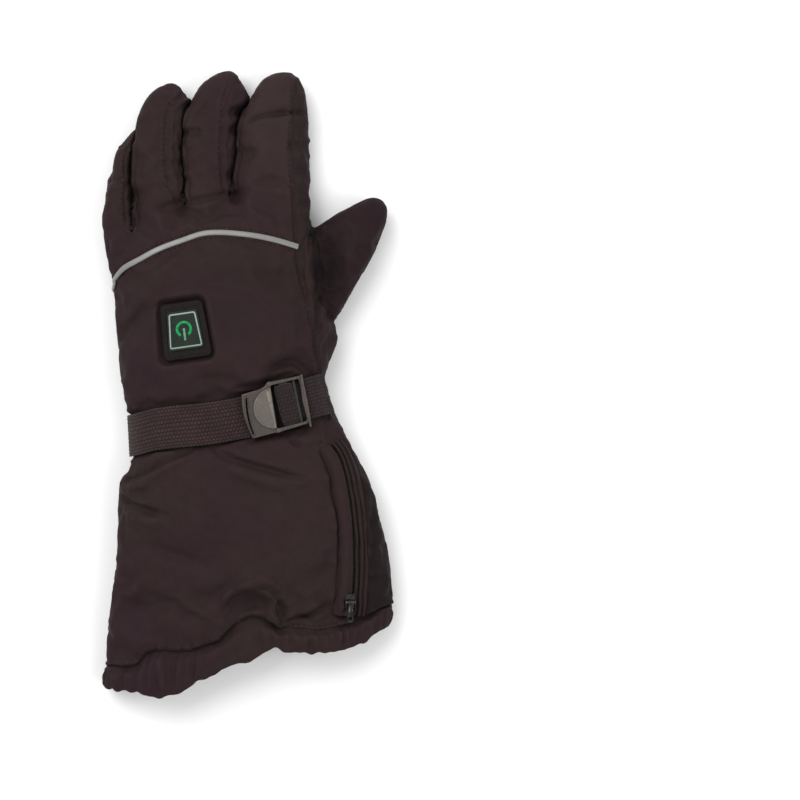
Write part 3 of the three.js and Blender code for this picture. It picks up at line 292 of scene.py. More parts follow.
RIGHT_OUTLINE = np.array(INDEX_SIDE[::-1] + [
    [40.0, 60.0], [49.9, 36.3], [50.9, 31.7], [51.6, 27.2], [50.9, 23.1], [48.5, 16.6], [46.1, 10.1],
    [44.2, 4.4], [44.4, 2.0], [46.1, -3.0], [47.3, -8.6], [50.8, -18.6], [56.6, -30.2], [62.4, -41.8],
    [65.8, -47.6], [68.7, -53.4], [73.4, -65.0], [75.7, -76.6], [80.3, -94.0], [82.1, -105.6],
    [83.8, -125.3], [83.8, -140.0],
])


# Tables and curves

def spline(rows, t):
    """Points of the smooth curve through a table's rows, at the stations t."""
    t = np.asarray(t, float)
    start = np.clip(np.floor(t).astype(int), 0, len(rows) - 2)
    f = (t - start)[..., None]
    a, b, c, d = (rows[np.clip(start + k, 0, len(rows) - 1)] for k in (-1, 0, 1, 2))
    return b + 0.5 * f * (c - a + f * (2 * a - 5 * b + 4 * c - d + f * (3 * (b - c) + d - a)))


def path_length(points):
    """How far along a path each of its points lies."""
    return np.concatenate([[0], np.cumsum(np.linalg.norm(np.diff(points, axis=0), axis=1))])


def unit(vectors):
    return vectors / np.maximum(np.linalg.norm(vectors, axis=1, keepdims=True), 1e-12)


def directions(path):
    return unit(np.gradient(path, axis=0))


def to_left(vectors):
    """Vectors in plan, turned to their left."""
    return np.column_stack([-vectors[:, 1], vectors[:, 0]])


def dense(line, step=0.5):
    """The smooth curve through a line's points, with about one point in each step."""
    line = np.asarray(line, float)
    t = np.linspace(0, len(line) - 1, 40 * len(line))
    points = spline(line, t)
    along = path_length(points)
    count = max(2, int(along[-1] / step) + 1)
    where = np.linspace(0, along[-1], count)
    return np.stack([np.interp(where, along, points[:, k]) for k in range(points.shape[1])], axis=1)


def height_of(line, x):
    """The y of a seam that runs across the glove."""
    curve = dense(line)
    order = np.argsort(curve[:, 0])
    return np.interp(x, curve[order, 0], curve[order, 1])


def side_of(line, y):
    """The x of a seam that runs along the glove."""
    curve = dense(line)
    order = np.argsort(curve[:, 1])
    return np.interp(y, curve[order, 1], curve[order, 0])


def smoothstep(x, low, high):
    """A smooth ramp from 0 at low to 1 at high."""
    f = np.clip((x - low) / (high - low), 0, 1)
    return f * f * (3 - 2 * f)


def section_points(rows, shape, angles, grow=0.0):
    """Points round each row's section: a superellipse that is flattened where it rests on the ground."""
    edge, top_power, bottom_power = shape
    left = rows[:, None, 0:2]
    right = rows[:, None, 2:4]
    top = rows[:, None, 4]
    bottom = rows[:, None, 5]
    bow = rows[:, None, 6]
    chord = right - left
    length = np.linalg.norm(chord, axis=2)
    along = chord / length[..., None]
    half = length / 2 + grow
    middle = bottom + (top - bottom) * edge
    cosine = np.cos(angles)[None]
    sine = np.sin(angles)[None]
    power = 2 / np.where(sine >= 0, top_power, bottom_power)
    across = np.sign(cosine) * np.abs(cosine) ** power
    rise = np.sign(sine) * np.abs(sine) ** power
    reach = np.where(sine >= 0, top - middle, middle - bottom) + grow
    centre = (left + right) / 2
    bend = bow * (1 - across ** 2)
    x = centre[..., 0] + along[..., 0] * across * half + along[..., 1] * bend
    y = centre[..., 1] + along[..., 1] * across * half - along[..., 0] * bend
    z = np.maximum(middle + rise * reach, -np.asarray(grow))
    return np.stack([x, y, z], axis=2)


def segment_distance(points, a, b):
    """Distance in plan from points to the segment a-b."""
    a = np.asarray(a, float)
    b = np.asarray(b, float)
    along = b - a
    f = np.clip(((points - a) @ along) / (along @ along), 0, 1)
    return np.linalg.norm(points - a - f[..., None] * along, axis=-1)


def line_distance(points, line):
    """Distance in plan from points to a line of several segments, and the share of the way along it."""
    apart = np.array([segment_distance(points, line[k], line[k + 1]) for k in range(len(line) - 1)])
    nearest = apart.argmin(0)
    start = line[nearest]
    along = line[nearest + 1] - start
    f = np.clip(((points - start) * along).sum(1) / (along * along).sum(1), 0, 1)
    return apart.min(0), (nearest + f) / (len(line) - 1)


def relief(plan, rows, fade=0.0):
    """Height of a table's folds at points in plan. They may fade over a share of their length."""
    flat = plan.reshape(-1, 2)
    height = np.zeros(len(flat))
    for row in rows:
        line = dense(row[:6].reshape(3, 2), 4.0)
        reach = 3 * row[7]
        near = ((flat > line.min(0) - reach) & (flat < line.max(0) + reach)).all(1)
        distance, share = line_distance(flat[near], line)
        fold = row[6] * np.exp(-(distance / row[7]) ** 2)
        if fade:
            fold *= 0.25 + 0.75 * smoothstep(np.minimum(share, 1 - share), 0, fade)
        height[near] += fold
    return height.reshape(plan.shape[:-1])


def body_points(t, angles, grow=0.0):
    """Points of the hand and gauntlet at the stations t and the angles round them."""
    rows = spline(BODY_ROWS, t)
    points = section_points(rows, BODY_SHAPE, angles, grow)
    points[..., 2] += relief(points[..., :2], FOLD_ROWS) * np.maximum(0, np.sin(angles))[None]
    last = len(BODY_ROWS) - 1
    ramp = smoothstep(np.asarray(t, float), last - 3, last)[:, None]
    end = BODY_ROWS[-1]
    chord = end[1] + (points[..., 0] - end[0]) / (end[2] - end[0]) * (end[3] - end[1])
    points[..., 1] += ramp * (height_of(HEM_SEAM, points[..., 0]) - HEM_OVERLAP - chord)
    return points


# Meshes
RAY_HEIGHT = 90.0


def ring_grid(count, around, start=0):
    """The numbers of the points of rings, from a start, and the quads between the rings."""
    grid = np.arange(count * around).reshape(count, around) + start
    turned = np.roll(grid, -1, axis=1)
    return grid, np.stack([grid[:-1], turned[:-1], turned[1:], grid[1:]], axis=2).reshape(-1, 4)


def loft(rings):
    """A closed mesh through rings of points, as points and faces."""
    count, around = rings.shape[:2]
    grid, quads = ring_grid(count, around)
    points = np.concatenate([rings.reshape(-1, 3), rings[0].mean(0)[None], rings[-1].mean(0)[None]])
    first = count * around
    caps = []
    for k in range(around):
        after = (k + 1) % around
        caps.append([first, int(grid[0, after]), int(grid[0, k])])
        caps.append([first + 1, int(grid[-1, k]), int(grid[-1, after])])
    return points, quads.tolist() + caps


def joined(*shapes):
    """Several shapes as one, with the faces of each renumbered."""
    points = []
    faces = []
    start = 0
    for shape_points, shape_faces in shapes:
        points.append(shape_points)
        faces += [[i + start for i in face] for face in shape_faces]
        start += len(shape_points)
    return np.concatenate(points), faces


def listed(faces):
    return faces if isinstance(faces, list) else faces.tolist()


def mesh_object(name, points, faces, material=None, sharp=None):
    """A mesh object in the frame, in metres, from points in millimetres."""
    mesh = bpy.data.meshes.new(name)
    mesh.from_pydata(((points + CENTRING) * MM).tolist(), [], listed(faces))
    mesh.update()
    mesh.shade_smooth()
    if sharp is not None:
        mesh.set_sharp_from_angle(angle=math.radians(sharp))
    if material is not None:
        mesh.materials.append(material)
    obj = bpy.data.objects.new(name, mesh)
    bpy.context.scene.collection.objects.link(obj)
    return obj


def triangles_of(faces):
    """A mesh's faces as triangles."""
    sizes = np.array([len(face) for face in faces])
    if (sizes == 4).all():
        quads = np.array(faces)
        return np.concatenate([quads[:, [0, 1, 2]], quads[:, [0, 2, 3]]])
    fans = [(face[0], face[k], face[k + 1]) for face in faces for k in range(1, len(face) - 1)]
    return np.array(fans)


def outward(points, faces):
    """Faces turned so that the mesh's volume is positive."""
    triangles = triangles_of(faces)
    a, b, c = (points[triangles[:, k]] for k in range(3))
    volume = np.einsum("ij,ij->", a, np.cross(b, c))
    return faces if volume > 0 else [face[::-1] for face in faces]


def evaluated_arrays(obj):
    """Points in millimetres and faces of an object with its modifiers."""
    depsgraph = bpy.context.evaluated_depsgraph_get()
    shown = obj.evaluated_get(depsgraph)
    mesh = shown.to_mesh()
    points = np.zeros(len(mesh.vertices) * 3)
    mesh.vertices.foreach_get("co", points)
    sizes = np.zeros(len(mesh.polygons), int)
    mesh.polygons.foreach_get("loop_total", sizes)
    loops = np.zeros(len(mesh.loops), int)
    mesh.loops.foreach_get("vertex_index", loops)
    shown.to_mesh_clear()
    if len(sizes) and (sizes == 4).all():
        faces = loops.reshape(-1, 4).tolist()
    else:
        faces = [face.tolist() for face in np.split(loops, np.cumsum(sizes)[:-1])]
    return points.reshape(-1, 3) / MM - CENTRING, faces


def vertex_normals(points, triangles):
    """The outward direction at each point, from the faces round it."""
    a, b, c = (points[triangles[:, k]] for k in range(3))
    face = np.cross(b - a, c - a)
    normals = np.zeros_like(points)
    for k in range(3):
        for axis in range(3):
            normals[:, axis] += np.bincount(triangles[:, k], face[:, axis], len(points))
    return unit(normals)


def tree_of(points, faces):
    return BVHTree.FromPolygons(points.tolist(), listed(faces))


def seen_from_above(tree, x, y):
    """The surface's point above a place in plan, and its direction there."""
    return tree.ray_cast(Vector((x, y, RAY_HEIGHT)), Vector((0, 0, -1)))[:2]


def point_tree(points):
    tree = KDTree(len(points))
    for k, point in enumerate(points.tolist()):
        tree.insert(point, k)
    tree.balance()
    return tree


def nearest_index(spots, points):
    """For each point, the index of the nearest spot and the distance to it."""
    tree = point_tree(spots)
    found = [tree.find(point)[1:] for point in points.tolist()]
    return np.array([f[0] for f in found]), np.array([f[1] for f in found])


def noise_at(points, size, seed):
    """Smooth noise whose features are about size millimetres."""
    shifted = points / size + np.array([17.3, 5.1, 9.7]) * seed
    return np.array([noise.noise(point) for point in shifted.tolist()])


# The skin: the hand, gauntlet, fingers and thumb as one surface. The fingers are spread while it is meshed,
# so that neighbours stay apart, and are brought back together afterwards.
SPREAD = 3.0
RAMP_LENGTH = 16.0
FINE_VOXEL = 2.2
COARSE_VOXEL = 4.0
FIT_STEP = 1.0
END_ROUNDING = 1.2
END_TURNS = (25, 50, 72)
FIT_SPAN = 7
DIGIT_AROUND = 48
DIGIT_STEP = 0.125
BODY_AROUND = 128
BODY_STEP = 0.1
THUMB_SIDE_X = 45


def finger_shifts(y):
    """How far each finger is spread at y: index, middle, ring, little."""
    ramps = [smoothstep(y, gap[-1, 1], gap[-1, 1] + RAMP_LENGTH) * SPREAD for gap in ROW_GAPS]
    return np.stack([ramps[0], np.zeros_like(y), -ramps[1], -ramps[1] - ramps[2]])


def finger_of(points):
    """Which finger each point of the spread skin is on: 0 index, 1 middle, 2 ring, 3 little."""
    y = points[:, 1]
    shifts = finger_shifts(y)
    finger = np.zeros(len(points), int)
    for k, gap in enumerate(ROW_GAPS):
        line = side_of(gap, y) + (shifts[k] + shifts[k + 1]) / 2
        finger += points[:, 0] < line
    return finger


def full_turn(count):
    return np.linspace(0, 2 * math.pi, count, endpoint=False)


def digit_rings(rows, finger=None):
    """Rings along a finger or the thumb, with a rounded end. Given its number, a finger is spread."""
    angles = full_turn(DIGIT_AROUND)
    t = np.arange(0, len(rows) - 1 + 1e-9, DIGIT_STEP)
    rings = section_points(spline(rows, t), DIGIT_SHAPE, angles)
    centre = rings[-1].mean(0)
    ahead = centre - rings[-3].mean(0)
    ahead[2] = 0
    ahead /= np.linalg.norm(ahead)
    ends = [centre + (rings[-1] - centre) * math.cos(turn) + ahead * END_ROUNDING * math.sin(turn)
            for turn in np.radians(END_TURNS)]
    rings = np.concatenate([rings, ends])
    if finger is not None:
        y = rings[..., 1]
        rings[..., 0] += finger_shifts(y.ravel())[finger].reshape(y.shape)
    return rings


def skin_lofts():
    """Closed shapes of the body, the four fingers and the thumb, which overlap."""
    last = len(BODY_ROWS) - 1
    body = body_points(np.arange(0, last + 1e-9, BODY_STEP), full_turn(BODY_AROUND))
    past_hem = body[-1:] - np.array([0, PAST_HEM, 0])
    lofts = [loft(np.concatenate([body, past_hem]))]
    for finger, rows in enumerate(FINGER_ROWS):
        lofts.append(loft(digit_rings(rows, finger)))
    lofts.append(loft(digit_rings(THUMB_ROWS)))
    return [(points, outward(points, faces)) for points, faces in lofts]


def spread_skin(lofts, voxel, smoothing):
    """The lofts as one even mesh, with the fingers spread."""
    rough = mesh_object("rough_skin", *joined(*lofts))
    remesh = rough.modifiers.new("even", "REMESH")
    remesh.mode = "VOXEL"
    remesh.voxel_size = voxel * MM
    even = rough.modifiers.new("soften", "SMOOTH")
    even.factor = 0.5
    even.iterations = smoothing
    points, faces = evaluated_arrays(rough)
    bpy.data.objects.remove(rough)
    return points, faces


def edge_at(rows, columns, y):
    """The x of a finger's edge at y."""
    curve = spline(rows, np.linspace(0, len(rows) - 1, 400))[:, columns]
    order = np.argsort(curve[:, 1])
    return np.interp(y, curve[order, 1], curve[order, 0])


def target_edges(finger, y):
    """The left and right x that a finger has at y: its outline, or the gap to a finger that it touches."""
    rows = FINGER_ROWS[finger]
    left = edge_at(rows, [0, 1], y)
    right = edge_at(rows, [2, 3], y)
    if finger < 3:
        share = smoothstep(y, NOTCHES[finger] + NOTCH_SPAN[0], NOTCHES[finger] + NOTCH_SPAN[1])
        left = left * share + (side_of(FINGER_GAPS[finger], y) + TOUCH) * (1 - share)
    if finger > 0:
        share = smoothstep(y, NOTCHES[finger - 1] + NOTCH_SPAN[0], NOTCHES[finger - 1] + NOTCH_SPAN[1])
        right = right * share + (side_of(FINGER_GAPS[finger - 1], y) - TOUCH) * (1 - share)
    return left, right


# Where a finger's fit begins beside its neighbours and ends at its tip
NOTCH_SPAN = (-3, 2)
FIT_RAMP = 9
TIP_STRETCH = 18
TIP_SPAN = (-5, -1)
PAST_TIP = 0.3


def fitted_fingers(points, finger):
    """Widens each finger to its outline and its neighbours, which the even mesh falls a little short of."""
    fitted = points.copy()
    for k, rows in enumerate(FINGER_ROWS):
        base = max(gap[-1, 1] for gap in FINGER_GAPS[max(0, k - 1):k + 1])
        mine = (finger == k) & (points[:, 1] > base) & (points[:, 0] < THUMB_SIDE_X)
        chosen = points[mine]
        end = rows[-1, 1]
        stretch = end + PAST_TIP - chosen[:, 1].max()
        y = chosen[:, 1] + stretch * smoothstep(chosen[:, 1], end - TIP_STRETCH, end)
        edges = np.arange(base, end + 2, FIT_STEP)
        bins = np.clip(((y - base) / FIT_STEP).astype(int), 0, len(edges) - 1)
        left = np.full(len(edges), np.nan)
        right = np.full(len(edges), np.nan)
        for b in range(len(edges)):
            inside = chosen[np.abs(bins - b) <= 1]
            if len(inside):
                left[b] = inside[:, 0].min()
                right[b] = inside[:, 0].max()
        good = ~np.isnan(left)
        span = np.ones(FIT_SPAN) / FIT_SPAN
        stations = edges[good] + FIT_STEP / 2
        left = np.convolve(np.pad(left[good], FIT_SPAN // 2, "edge"), span, "valid")
        right = np.convolve(np.pad(right[good], FIT_SPAN // 2, "edge"), span, "valid")
        now_left = np.interp(y, stations, left)
        now_right = np.interp(y, stations, right)
        want_left, want_right = target_edges(k, np.minimum(y, end - 1.5))
        share = np.clip((chosen[:, 0] - now_left) / (now_right - now_left), -0.05, 1.05)
        x = want_left + share * (want_right - want_left)
        weight = smoothstep(y, base, base + FIT_RAMP)
        tip = 1 - smoothstep(y, end + TIP_SPAN[0], end + TIP_SPAN[1])
        fitted[mine, 0] = chosen[:, 0] + (x - chosen[:, 0]) * weight * tip
        fitted[mine, 1] = y
    return fitted


def kept_apart(points, finger):
    """Presses neighbouring fingers flat where they would cross the gap between them."""
    y = points[:, 1]
    pressed = points.copy()
    for k, gap in enumerate(FINGER_GAPS):
        line = side_of(gap, y)
        above = y > gap[-1, 1]
        right_finger = above & (finger == k) & (pressed[:, 0] < THUMB_SIDE_X)
        left_finger = above & (finger == k + 1)
        pressed[right_finger, 0] = np.maximum(pressed[right_finger, 0], line[right_finger] + TOUCH)
        pressed[left_finger, 0] = np.minimum(pressed[left_finger, 0], line[left_finger] - TOUCH)
    return pressed


# Seams on the skin. Every seam is where a value changes sign, so the skin can be cut along it.
WRIST_X = np.array([-100, -74, -68, -60, -52, -42, -30, -16, -4, 16, 36, 48, 100.0])
WRIST_MIDDLE = (BODY_ROWS[STRAP_ROW, 0] + BODY_ROWS[STRAP_ROW + 1, 2]) / 2
WRIST_HALF = (BODY_ROWS[STRAP_ROW + 1, 2] - BODY_ROWS[STRAP_ROW, 0]) / 2
STRAP_BULGE = 0.8
STRAP_BULGE_X = -42
STRAP_BULGE_WIDTH = 14
STRAP_FALL = 2.8
STRAP_FALL_SPAN = (-74, -52)

# The thumb's seam is near the body's own shape, and laps further over the hand beside the index finger
THUMB_CLEARANCE = 0.7
THUMB_FAR = 30
THUMB_FROM_X = 25
THUMB_INDEX_X = 12
THUMB_INDEX_SPAN = (70, 88)
THUMB_FROM_Y = 5
THUMB_TO_Y = 112
THUMB_LAP = 1.6
LAP_BEGINS = (46, 60)
LAP_ENDS = (78, 90)
LAP_ABOVE = (16, 24)
FOURCHETTE_REACH = 13


def droop(x):
    """How far the strap lies above its section row, in plan."""
    bulge = STRAP_BULGE * np.exp(-((x - STRAP_BULGE_X) / STRAP_BULGE_WIDTH) ** 2)
    return bulge - STRAP_FALL * (1 - smoothstep(x, *STRAP_FALL_SPAN))


def wrist_seam():
    """The seam under the middle of the strap, in plan."""
    angles = np.arccos(np.clip((WRIST_X - WRIST_MIDDLE) / WRIST_HALF, -1, 1))
    y = body_points([STRAP_ROW + 0.5], angles)[0, :, 1]
    return np.stack([WRIST_X, y + droop(WRIST_X)], axis=1)


def distances(tree, points, far):
    """Distance from points to a tree's surface, at most far."""
    out = np.full(len(points), far)
    for k, point in enumerate(points.tolist()):
        hit = tree.find_nearest(point, far)
        if hit[0] is not None:
            out[k] = hit[3]
    return out


def seam_fields(points, finger):
    """For each seam, a value in millimetres that is positive on one side of it and negative on the other."""
    x, y, z = points.T
    near_thumb = x > THUMB_FROM_X + THUMB_INDEX_X * smoothstep(y, *THUMB_INDEX_SPAN)
    near_thumb &= (y > THUMB_FROM_Y) & (y < THUMB_TO_Y)
    thumb = np.full(len(points), -THUMB_CLEARANCE)
    thumb[near_thumb] = distances(body_tree, points[near_thumb], THUMB_FAR) - THUMB_CLEARANCE
    lap = THUMB_LAP * smoothstep(y, *LAP_BEGINS) * (1 - smoothstep(y, *LAP_ENDS))
    thumb -= lap * smoothstep(z, *LAP_ABOVE)
    fields = {
        "hem": y - height_of(HEM_SEAM, x),
        "thumb": thumb,
        "palm": z - PALM_SEAM_HEIGHT,
        "wrist": y - height_of(WRIST_SEAM, x),
        "side": x - side_of(SIDE_SEAM, y),
        "piping": y - height_of(PIPING_SEAM, x),
        "zip": x - side_of(ZIP_SEAM, y),
    }
    for k, (seam, gap) in enumerate(zip(FOURCHETTE_SEAMS, FINGER_GAPS)):
        above_crotch = y - gap[-1, 1]
        left = np.minimum(x - side_of(seam, y), above_crotch)
        beside = side_of(gap, y) + FOURCHETTE_REACH - x
        right = np.minimum(np.minimum(FOURCHETTE_TOP - z, beside), above_crotch)
        fields[f"fourchette_{k}"] = np.where(finger == k + 1, left, np.where(finger == k, right, -5.0))
    return fields


# The sewing pattern: seam, the piece it divides, the piece on its positive side and on its negative side
PATTERN = [
    ("hem", "all", "glove", "past_hem"),
    ("thumb", "glove", "thumb", "hand_and_cuff"),
    ("palm", "thumb", "thumb_back", "thumb_palm"),
    ("palm", "hand_and_cuff", "upper", "lower"),
    ("wrist", "lower", "palm_panel", "gauntlet_palm"),
    ("wrist", "upper", "hand_upper", "cuff_upper"),
    ("zip", "cuff_upper", "gauntlet_gusset", "gauntlet_back"),
    ("side", "hand_upper", "side_panel", "back_of_hand"),
    ("piping", "back_of_hand", "knuckle_panel", "back_panel"),
    ("fourchette_0", "knuckle_panel", "fourchette_index_middle", "knuckle_panel"),
    ("fourchette_0", "side_panel", "fourchette_index_middle", "side_panel"),
    ("fourchette_1", "knuckle_panel", "fourchette_middle_ring", "knuckle_panel"),
    ("fourchette_2", "knuckle_panel", "fourchette_ring_little", "knuckle_panel"),
]


ON_THE_LINE = 0.02


def cut(triangles, values, chosen):
    """Cuts the chosen triangles where the values change sign. Returns the triangles, the row that each came
    from, and for each new point its two ends and its share of the way between them."""
    side = np.sign(np.where(np.abs(values) < ON_THE_LINE, 0, values)).astype(int)
    sides = side[triangles]
    mixed = chosen & (sides.min(1) < 0) & (sides.max(1) > 0)
    rows = np.nonzero(mixed)[0]
    kept = np.nonzero(~mixed)[0]
    tri = triangles[rows]
    sides = sides[rows]
    through = (sides == 0).any(1)
    total = sides.sum(1)
    lone = np.where(through, np.argmax(sides == 0, axis=1), np.argmax(sides == -total[:, None], axis=1))
    order = (lone[:, None] + np.arange(3)) % 3
    tri = np.take_along_axis(tri, order, axis=1)
    count = len(values)
    edges = []
    for a, b in ((0, 1), (1, 2), (2, 0)):
        edges.append(np.sort(tri[:, [a, b]], axis=1))
    used = np.concatenate([edges[0][~through], edges[1][through], edges[2][~through]])
    keys = used[:, 0] * count + used[:, 1]
    unique, inverse = np.unique(keys, return_inverse=True)
    ends = np.stack([unique // count, unique % count], axis=1)
    share = values[ends[:, 0]] / (values[ends[:, 0]] - values[ends[:, 1]])
    new = inverse + count
    split = int((~through).sum())
    crossing = int(through.sum())
    first = new[:split]
    middle = new[split:split + crossing]
    last = new[split + crossing:]
    a, b, c = tri[~through].T
    p, q, r = tri[through].T
    pieces = [
        triangles[kept],
        np.stack([a, first, last], axis=1),
        np.stack([first, b, c], axis=1),
        np.stack([first, c, last], axis=1),
        np.stack([p, q, middle], axis=1),
        np.stack([p, middle, r], axis=1),
    ]
    sources = [kept] + [rows[~through]] * 3 + [rows[through]] * 2
    return np.concatenate(pieces), np.concatenate(sources), ends, share


def cut_pattern(triangles, fields, carried):
    """Cuts the skin into its pieces. carried holds values for each point, which the new points share out."""
    labels = np.full(len(triangles), "all", dtype="<U24")
    seams = []
    for seam, whole, positive, negative in PATTERN:
        chosen = labels == whole
        triangles, source, ends, share = cut(triangles, fields[seam], chosen)
        labels = labels[source]
        for group in (fields, carried):
            for name, values in group.items():
                weight = share if values.ndim == 1 else share[:, None]
                extra = values[ends[:, 0]] * (1 - weight) + values[ends[:, 1]] * weight
                group[name] = np.concatenate([values, extra])
        chosen = labels == whole
        centre = fields[seam][triangles].sum(1)
        labels[chosen] = np.where(centre[chosen] > 0, positive, negative)
        seams.append((seam, carried["rest"][len(carried["rest"]) - len(ends):]))
        if negative == "past_hem":
            keep = labels != negative
            triangles = triangles[keep]
            labels = labels[keep]
    return triangles, labels, carried, seams


# How each seam draws the cloth in: depth and width of its valley, how strongly and how far it puckers, and
# the height of the turned edge beside it
SEAM_LOOKS = {
    "hem": (3.8, 1.8, 0.5, 8.0, 1.1),
    "thumb": (1.6, 1.6, 0.2, 6.0, 0.4),
    "palm": (1.3, 1.8, 0.16, 5.0, 0.2),
    "wrist": (0.0, 1.6, 0.0, 4.0, 0.0),
    "side": (1.2, 1.2, 0.16, 5.0, 0.4),
    "piping": (1.0, 2.4, 0.2, 6.0, 0.3),
    "zip": (0.0, 1.5, 0.0, 4.0, 0.0),
    "fourchette_0": (1.1, 1.2, 0.12, 5.0, 0.35),
    "fourchette_1": (1.1, 1.2, 0.12, 5.0, 0.35),
    "fourchette_2": (1.0, 1.2, 0.12, 5.0, 0.3),
}
RIM_AWAY = 2.6
RIM_WIDTH = 1.1
FAR_FROM_SEAMS = 25.0


def seam_reach(points, seams):
    """For each point, the distance to the nearest seam, that seam's looks and the nearest spot on it."""
    spots = np.concatenate([spots for _, spots in seams])
    looks = np.concatenate([np.tile(SEAM_LOOKS[name], (len(spots), 1)) for name, spots in seams])
    index, distance = nearest_index(spots, points)
    return np.minimum(distance, FAR_FROM_SEAMS), looks[index], spots[index]


# Pressure fills the padding between the seams, which hold the cloth where it is.
PRESSURE = 4.0
GROWTH = 0.05
LAST_FRAME = 14
MOST_MOVE = 4.0
HOLD_STEPS = 20
HELD_BY_SEAMS = (1.5, 6.5)
HELD_BY_GROUND = (0.3, 2.5)
HELD_BY_HEM = (-4, 0)
SHARED_BY = 4
SHARED_NEAR = 0.4


def puffed(points, faces, hold):
    """Moves of a mesh's points under pressure. Hold, from 0 to 1, says how strongly each is held."""
    obj = mesh_object("puffing", points, faces)
    group = obj.vertex_groups.new(name="held")
    steps = np.round(np.clip(hold, 0, 1) * HOLD_STEPS).astype(int)
    for step in np.unique(steps):
        group.add(np.nonzero(steps == step)[0].tolist(), float(step) / HOLD_STEPS, "REPLACE")
    cloth = obj.modifiers.new("cloth", "CLOTH")
    settings = cloth.settings
    settings.quality = 5
    settings.mass = 0.15
    settings.tension_stiffness = 12
    settings.compression_stiffness = 12
    settings.shear_stiffness = 4
    settings.bending_stiffness = 0.25
    settings.air_damping = 4
    settings.use_pressure = True
    settings.uniform_pressure_force = PRESSURE
    settings.vertex_group_mass = "held"
    settings.shrink_min = -GROWTH
    settings.effector_weights.gravity = 0
    cloth.collision_settings.use_collision = False
    cloth.collision_settings.use_self_collision = False
    cloth.point_cache.frame_start = 1
    cloth.point_cache.frame_end = LAST_FRAME
    scene = bpy.context.scene
    for frame_number in range(1, LAST_FRAME + 1):
        scene.frame_set(frame_number)
    moved, _ = evaluated_arrays(obj)
    scene.frame_set(1)
    bpy.data.objects.remove(obj)
    move = moved - points
    length = np.linalg.norm(move, axis=1, keepdims=True)
    return move * np.minimum(1, MOST_MOVE / np.maximum(length, 1e-9))


def shared_moves(moves, coarse, fine):
    """The moves of a coarse mesh's points, shared out to a finer mesh's points."""
    tree = point_tree(coarse)
    index = np.zeros((len(fine), SHARED_BY), int)
    weight = np.zeros((len(fine), SHARED_BY))
    for k, point in enumerate(fine.tolist()):
        found = tree.find_n(point, SHARED_BY)
        index[k] = [f[1] for f in found]
        weight[k] = [1 / (f[2] + SHARED_NEAR) ** 2 for f in found]
    weight /= weight.sum(1, keepdims=True)
    return (moves[index] * weight[..., None]).sum(1)


def subdivided(points, faces):
    """A mesh with each of its faces split once and its shape softened."""
    obj = mesh_object("finer", points, faces)
    subdivision = obj.modifiers.new("finer", "SUBSURF")
    subdivision.levels = 1
    subdivision.render_levels = 1
    out = evaluated_arrays(obj)
    bpy.data.objects.remove(obj)
    return out


# Seats of the hardware

def seat(x_axis, y_axis, z_axis, origin):
    """Where a piece of hardware sits: the directions of its own axes, as columns, and its origin."""
    return np.array([x_axis, y_axis, z_axis]).T, np.array(origin)


PAD_SEAT = seat((0.9862, 0.1386, 0.091), (-0.1361, 0.9902, -0.0326), (-0.0946, 0.0198, 0.9953),
                (-35.5865, 30.6763, 39.0865))
BUCKLE_SEAT = seat((0.9552, 0.2559, -0.1487), (-0.2552, 0.9666, 0.0247), (0.1501, 0.0144, 0.9886),
                   (16.4, -14.6, 36.9615))
SLIDER_SEAT = seat((-0.0173, -0.9896, -0.1428), (0.9776, 0.0133, -0.2101), (0.2098, -0.1433, 0.9672),
                   (58.3027, -125.0018, 31.2871))


def to_seat(points, place):
    return (points - place[1]) @ place[0]


def from_seat(points, place):
    return points @ place[0].T + place[1]


# Sizes of the hardware
PAD = {"top": 25.0, "bottom": 28.5, "height": 33.0, "corner": 4.0}
PAD_THICK = 3.4
KEY = {"top": 17.6, "bottom": 21.0, "height": 22.4, "corner": 2.2}
KEY_LOW = 3.3
KEY_HIGH = 4.6
FRAME_LINE = {"top": 15.6, "bottom": 19.0, "height": 20.0, "corner": 1.6}
BUCKLE_HALF = 19.0
BUCKLE_WIDE = 29.8
BUCKLE_MIDDLE = 1.4
BUCKLE_LOW = 0.3
BUCKLE_HIGH = 3.5
ANCHOR_WIDTH = 23.6
ANCHOR_MIDDLE = 1.2
SLOPE_STEP = 2.0


def pushed_below(points, place, weight, level):
    """Lowers points along a seat's own upward axis to a level, as far as the weight says."""
    local = to_seat(points, place)
    excess = np.maximum(0, local[:, 2] - level) * weight
    return points - excess[:, None] * place[0][:, 2]


def box_distance(u, v, half_u, half_v, corner=3.0):
    """Distance outside a rectangle with round corners, negative inside it."""
    over_u = np.abs(u) - half_u + corner
    over_v = np.abs(v) - half_v + corner
    outside = np.hypot(np.maximum(over_u, 0), np.maximum(over_v, 0))
    return outside + np.minimum(np.maximum(over_u, over_v), 0) - corner


def pad_distance(points):
    """Distance outside the switch pad, measured along its seat."""
    u, v, _ = to_seat(points, PAD_SEAT).T
    half = (PAD["top"] + PAD["bottom"]) / 4 - (PAD["bottom"] - PAD["top"]) / 2 * v / PAD["height"]
    return box_distance(u, v, half, PAD["height"] / 2)


def wrist_distance(points):
    """How far above the middle of the strap points lie, measured across it."""
    x = points[:, 0]
    rise = height_of(WRIST_SEAM, x + SLOPE_STEP) - height_of(WRIST_SEAM, x - SLOPE_STEP)
    slope = rise / (2 * SLOPE_STEP)
    return (points[:, 1] - height_of(WRIST_SEAM, x)) / np.sqrt(1 + slope ** 2)


def zip_distance(points):
    """Distance across the zip, positive towards the thumb side."""
    y = points[:, 1]
    slope = (side_of(ZIP_SEAM, y + SLOPE_STEP) - side_of(ZIP_SEAM, y - SLOPE_STEP)) / (2 * SLOPE_STEP)
    return (points[:, 0] - side_of(ZIP_SEAM, y)) / np.sqrt(1 + slope ** 2)


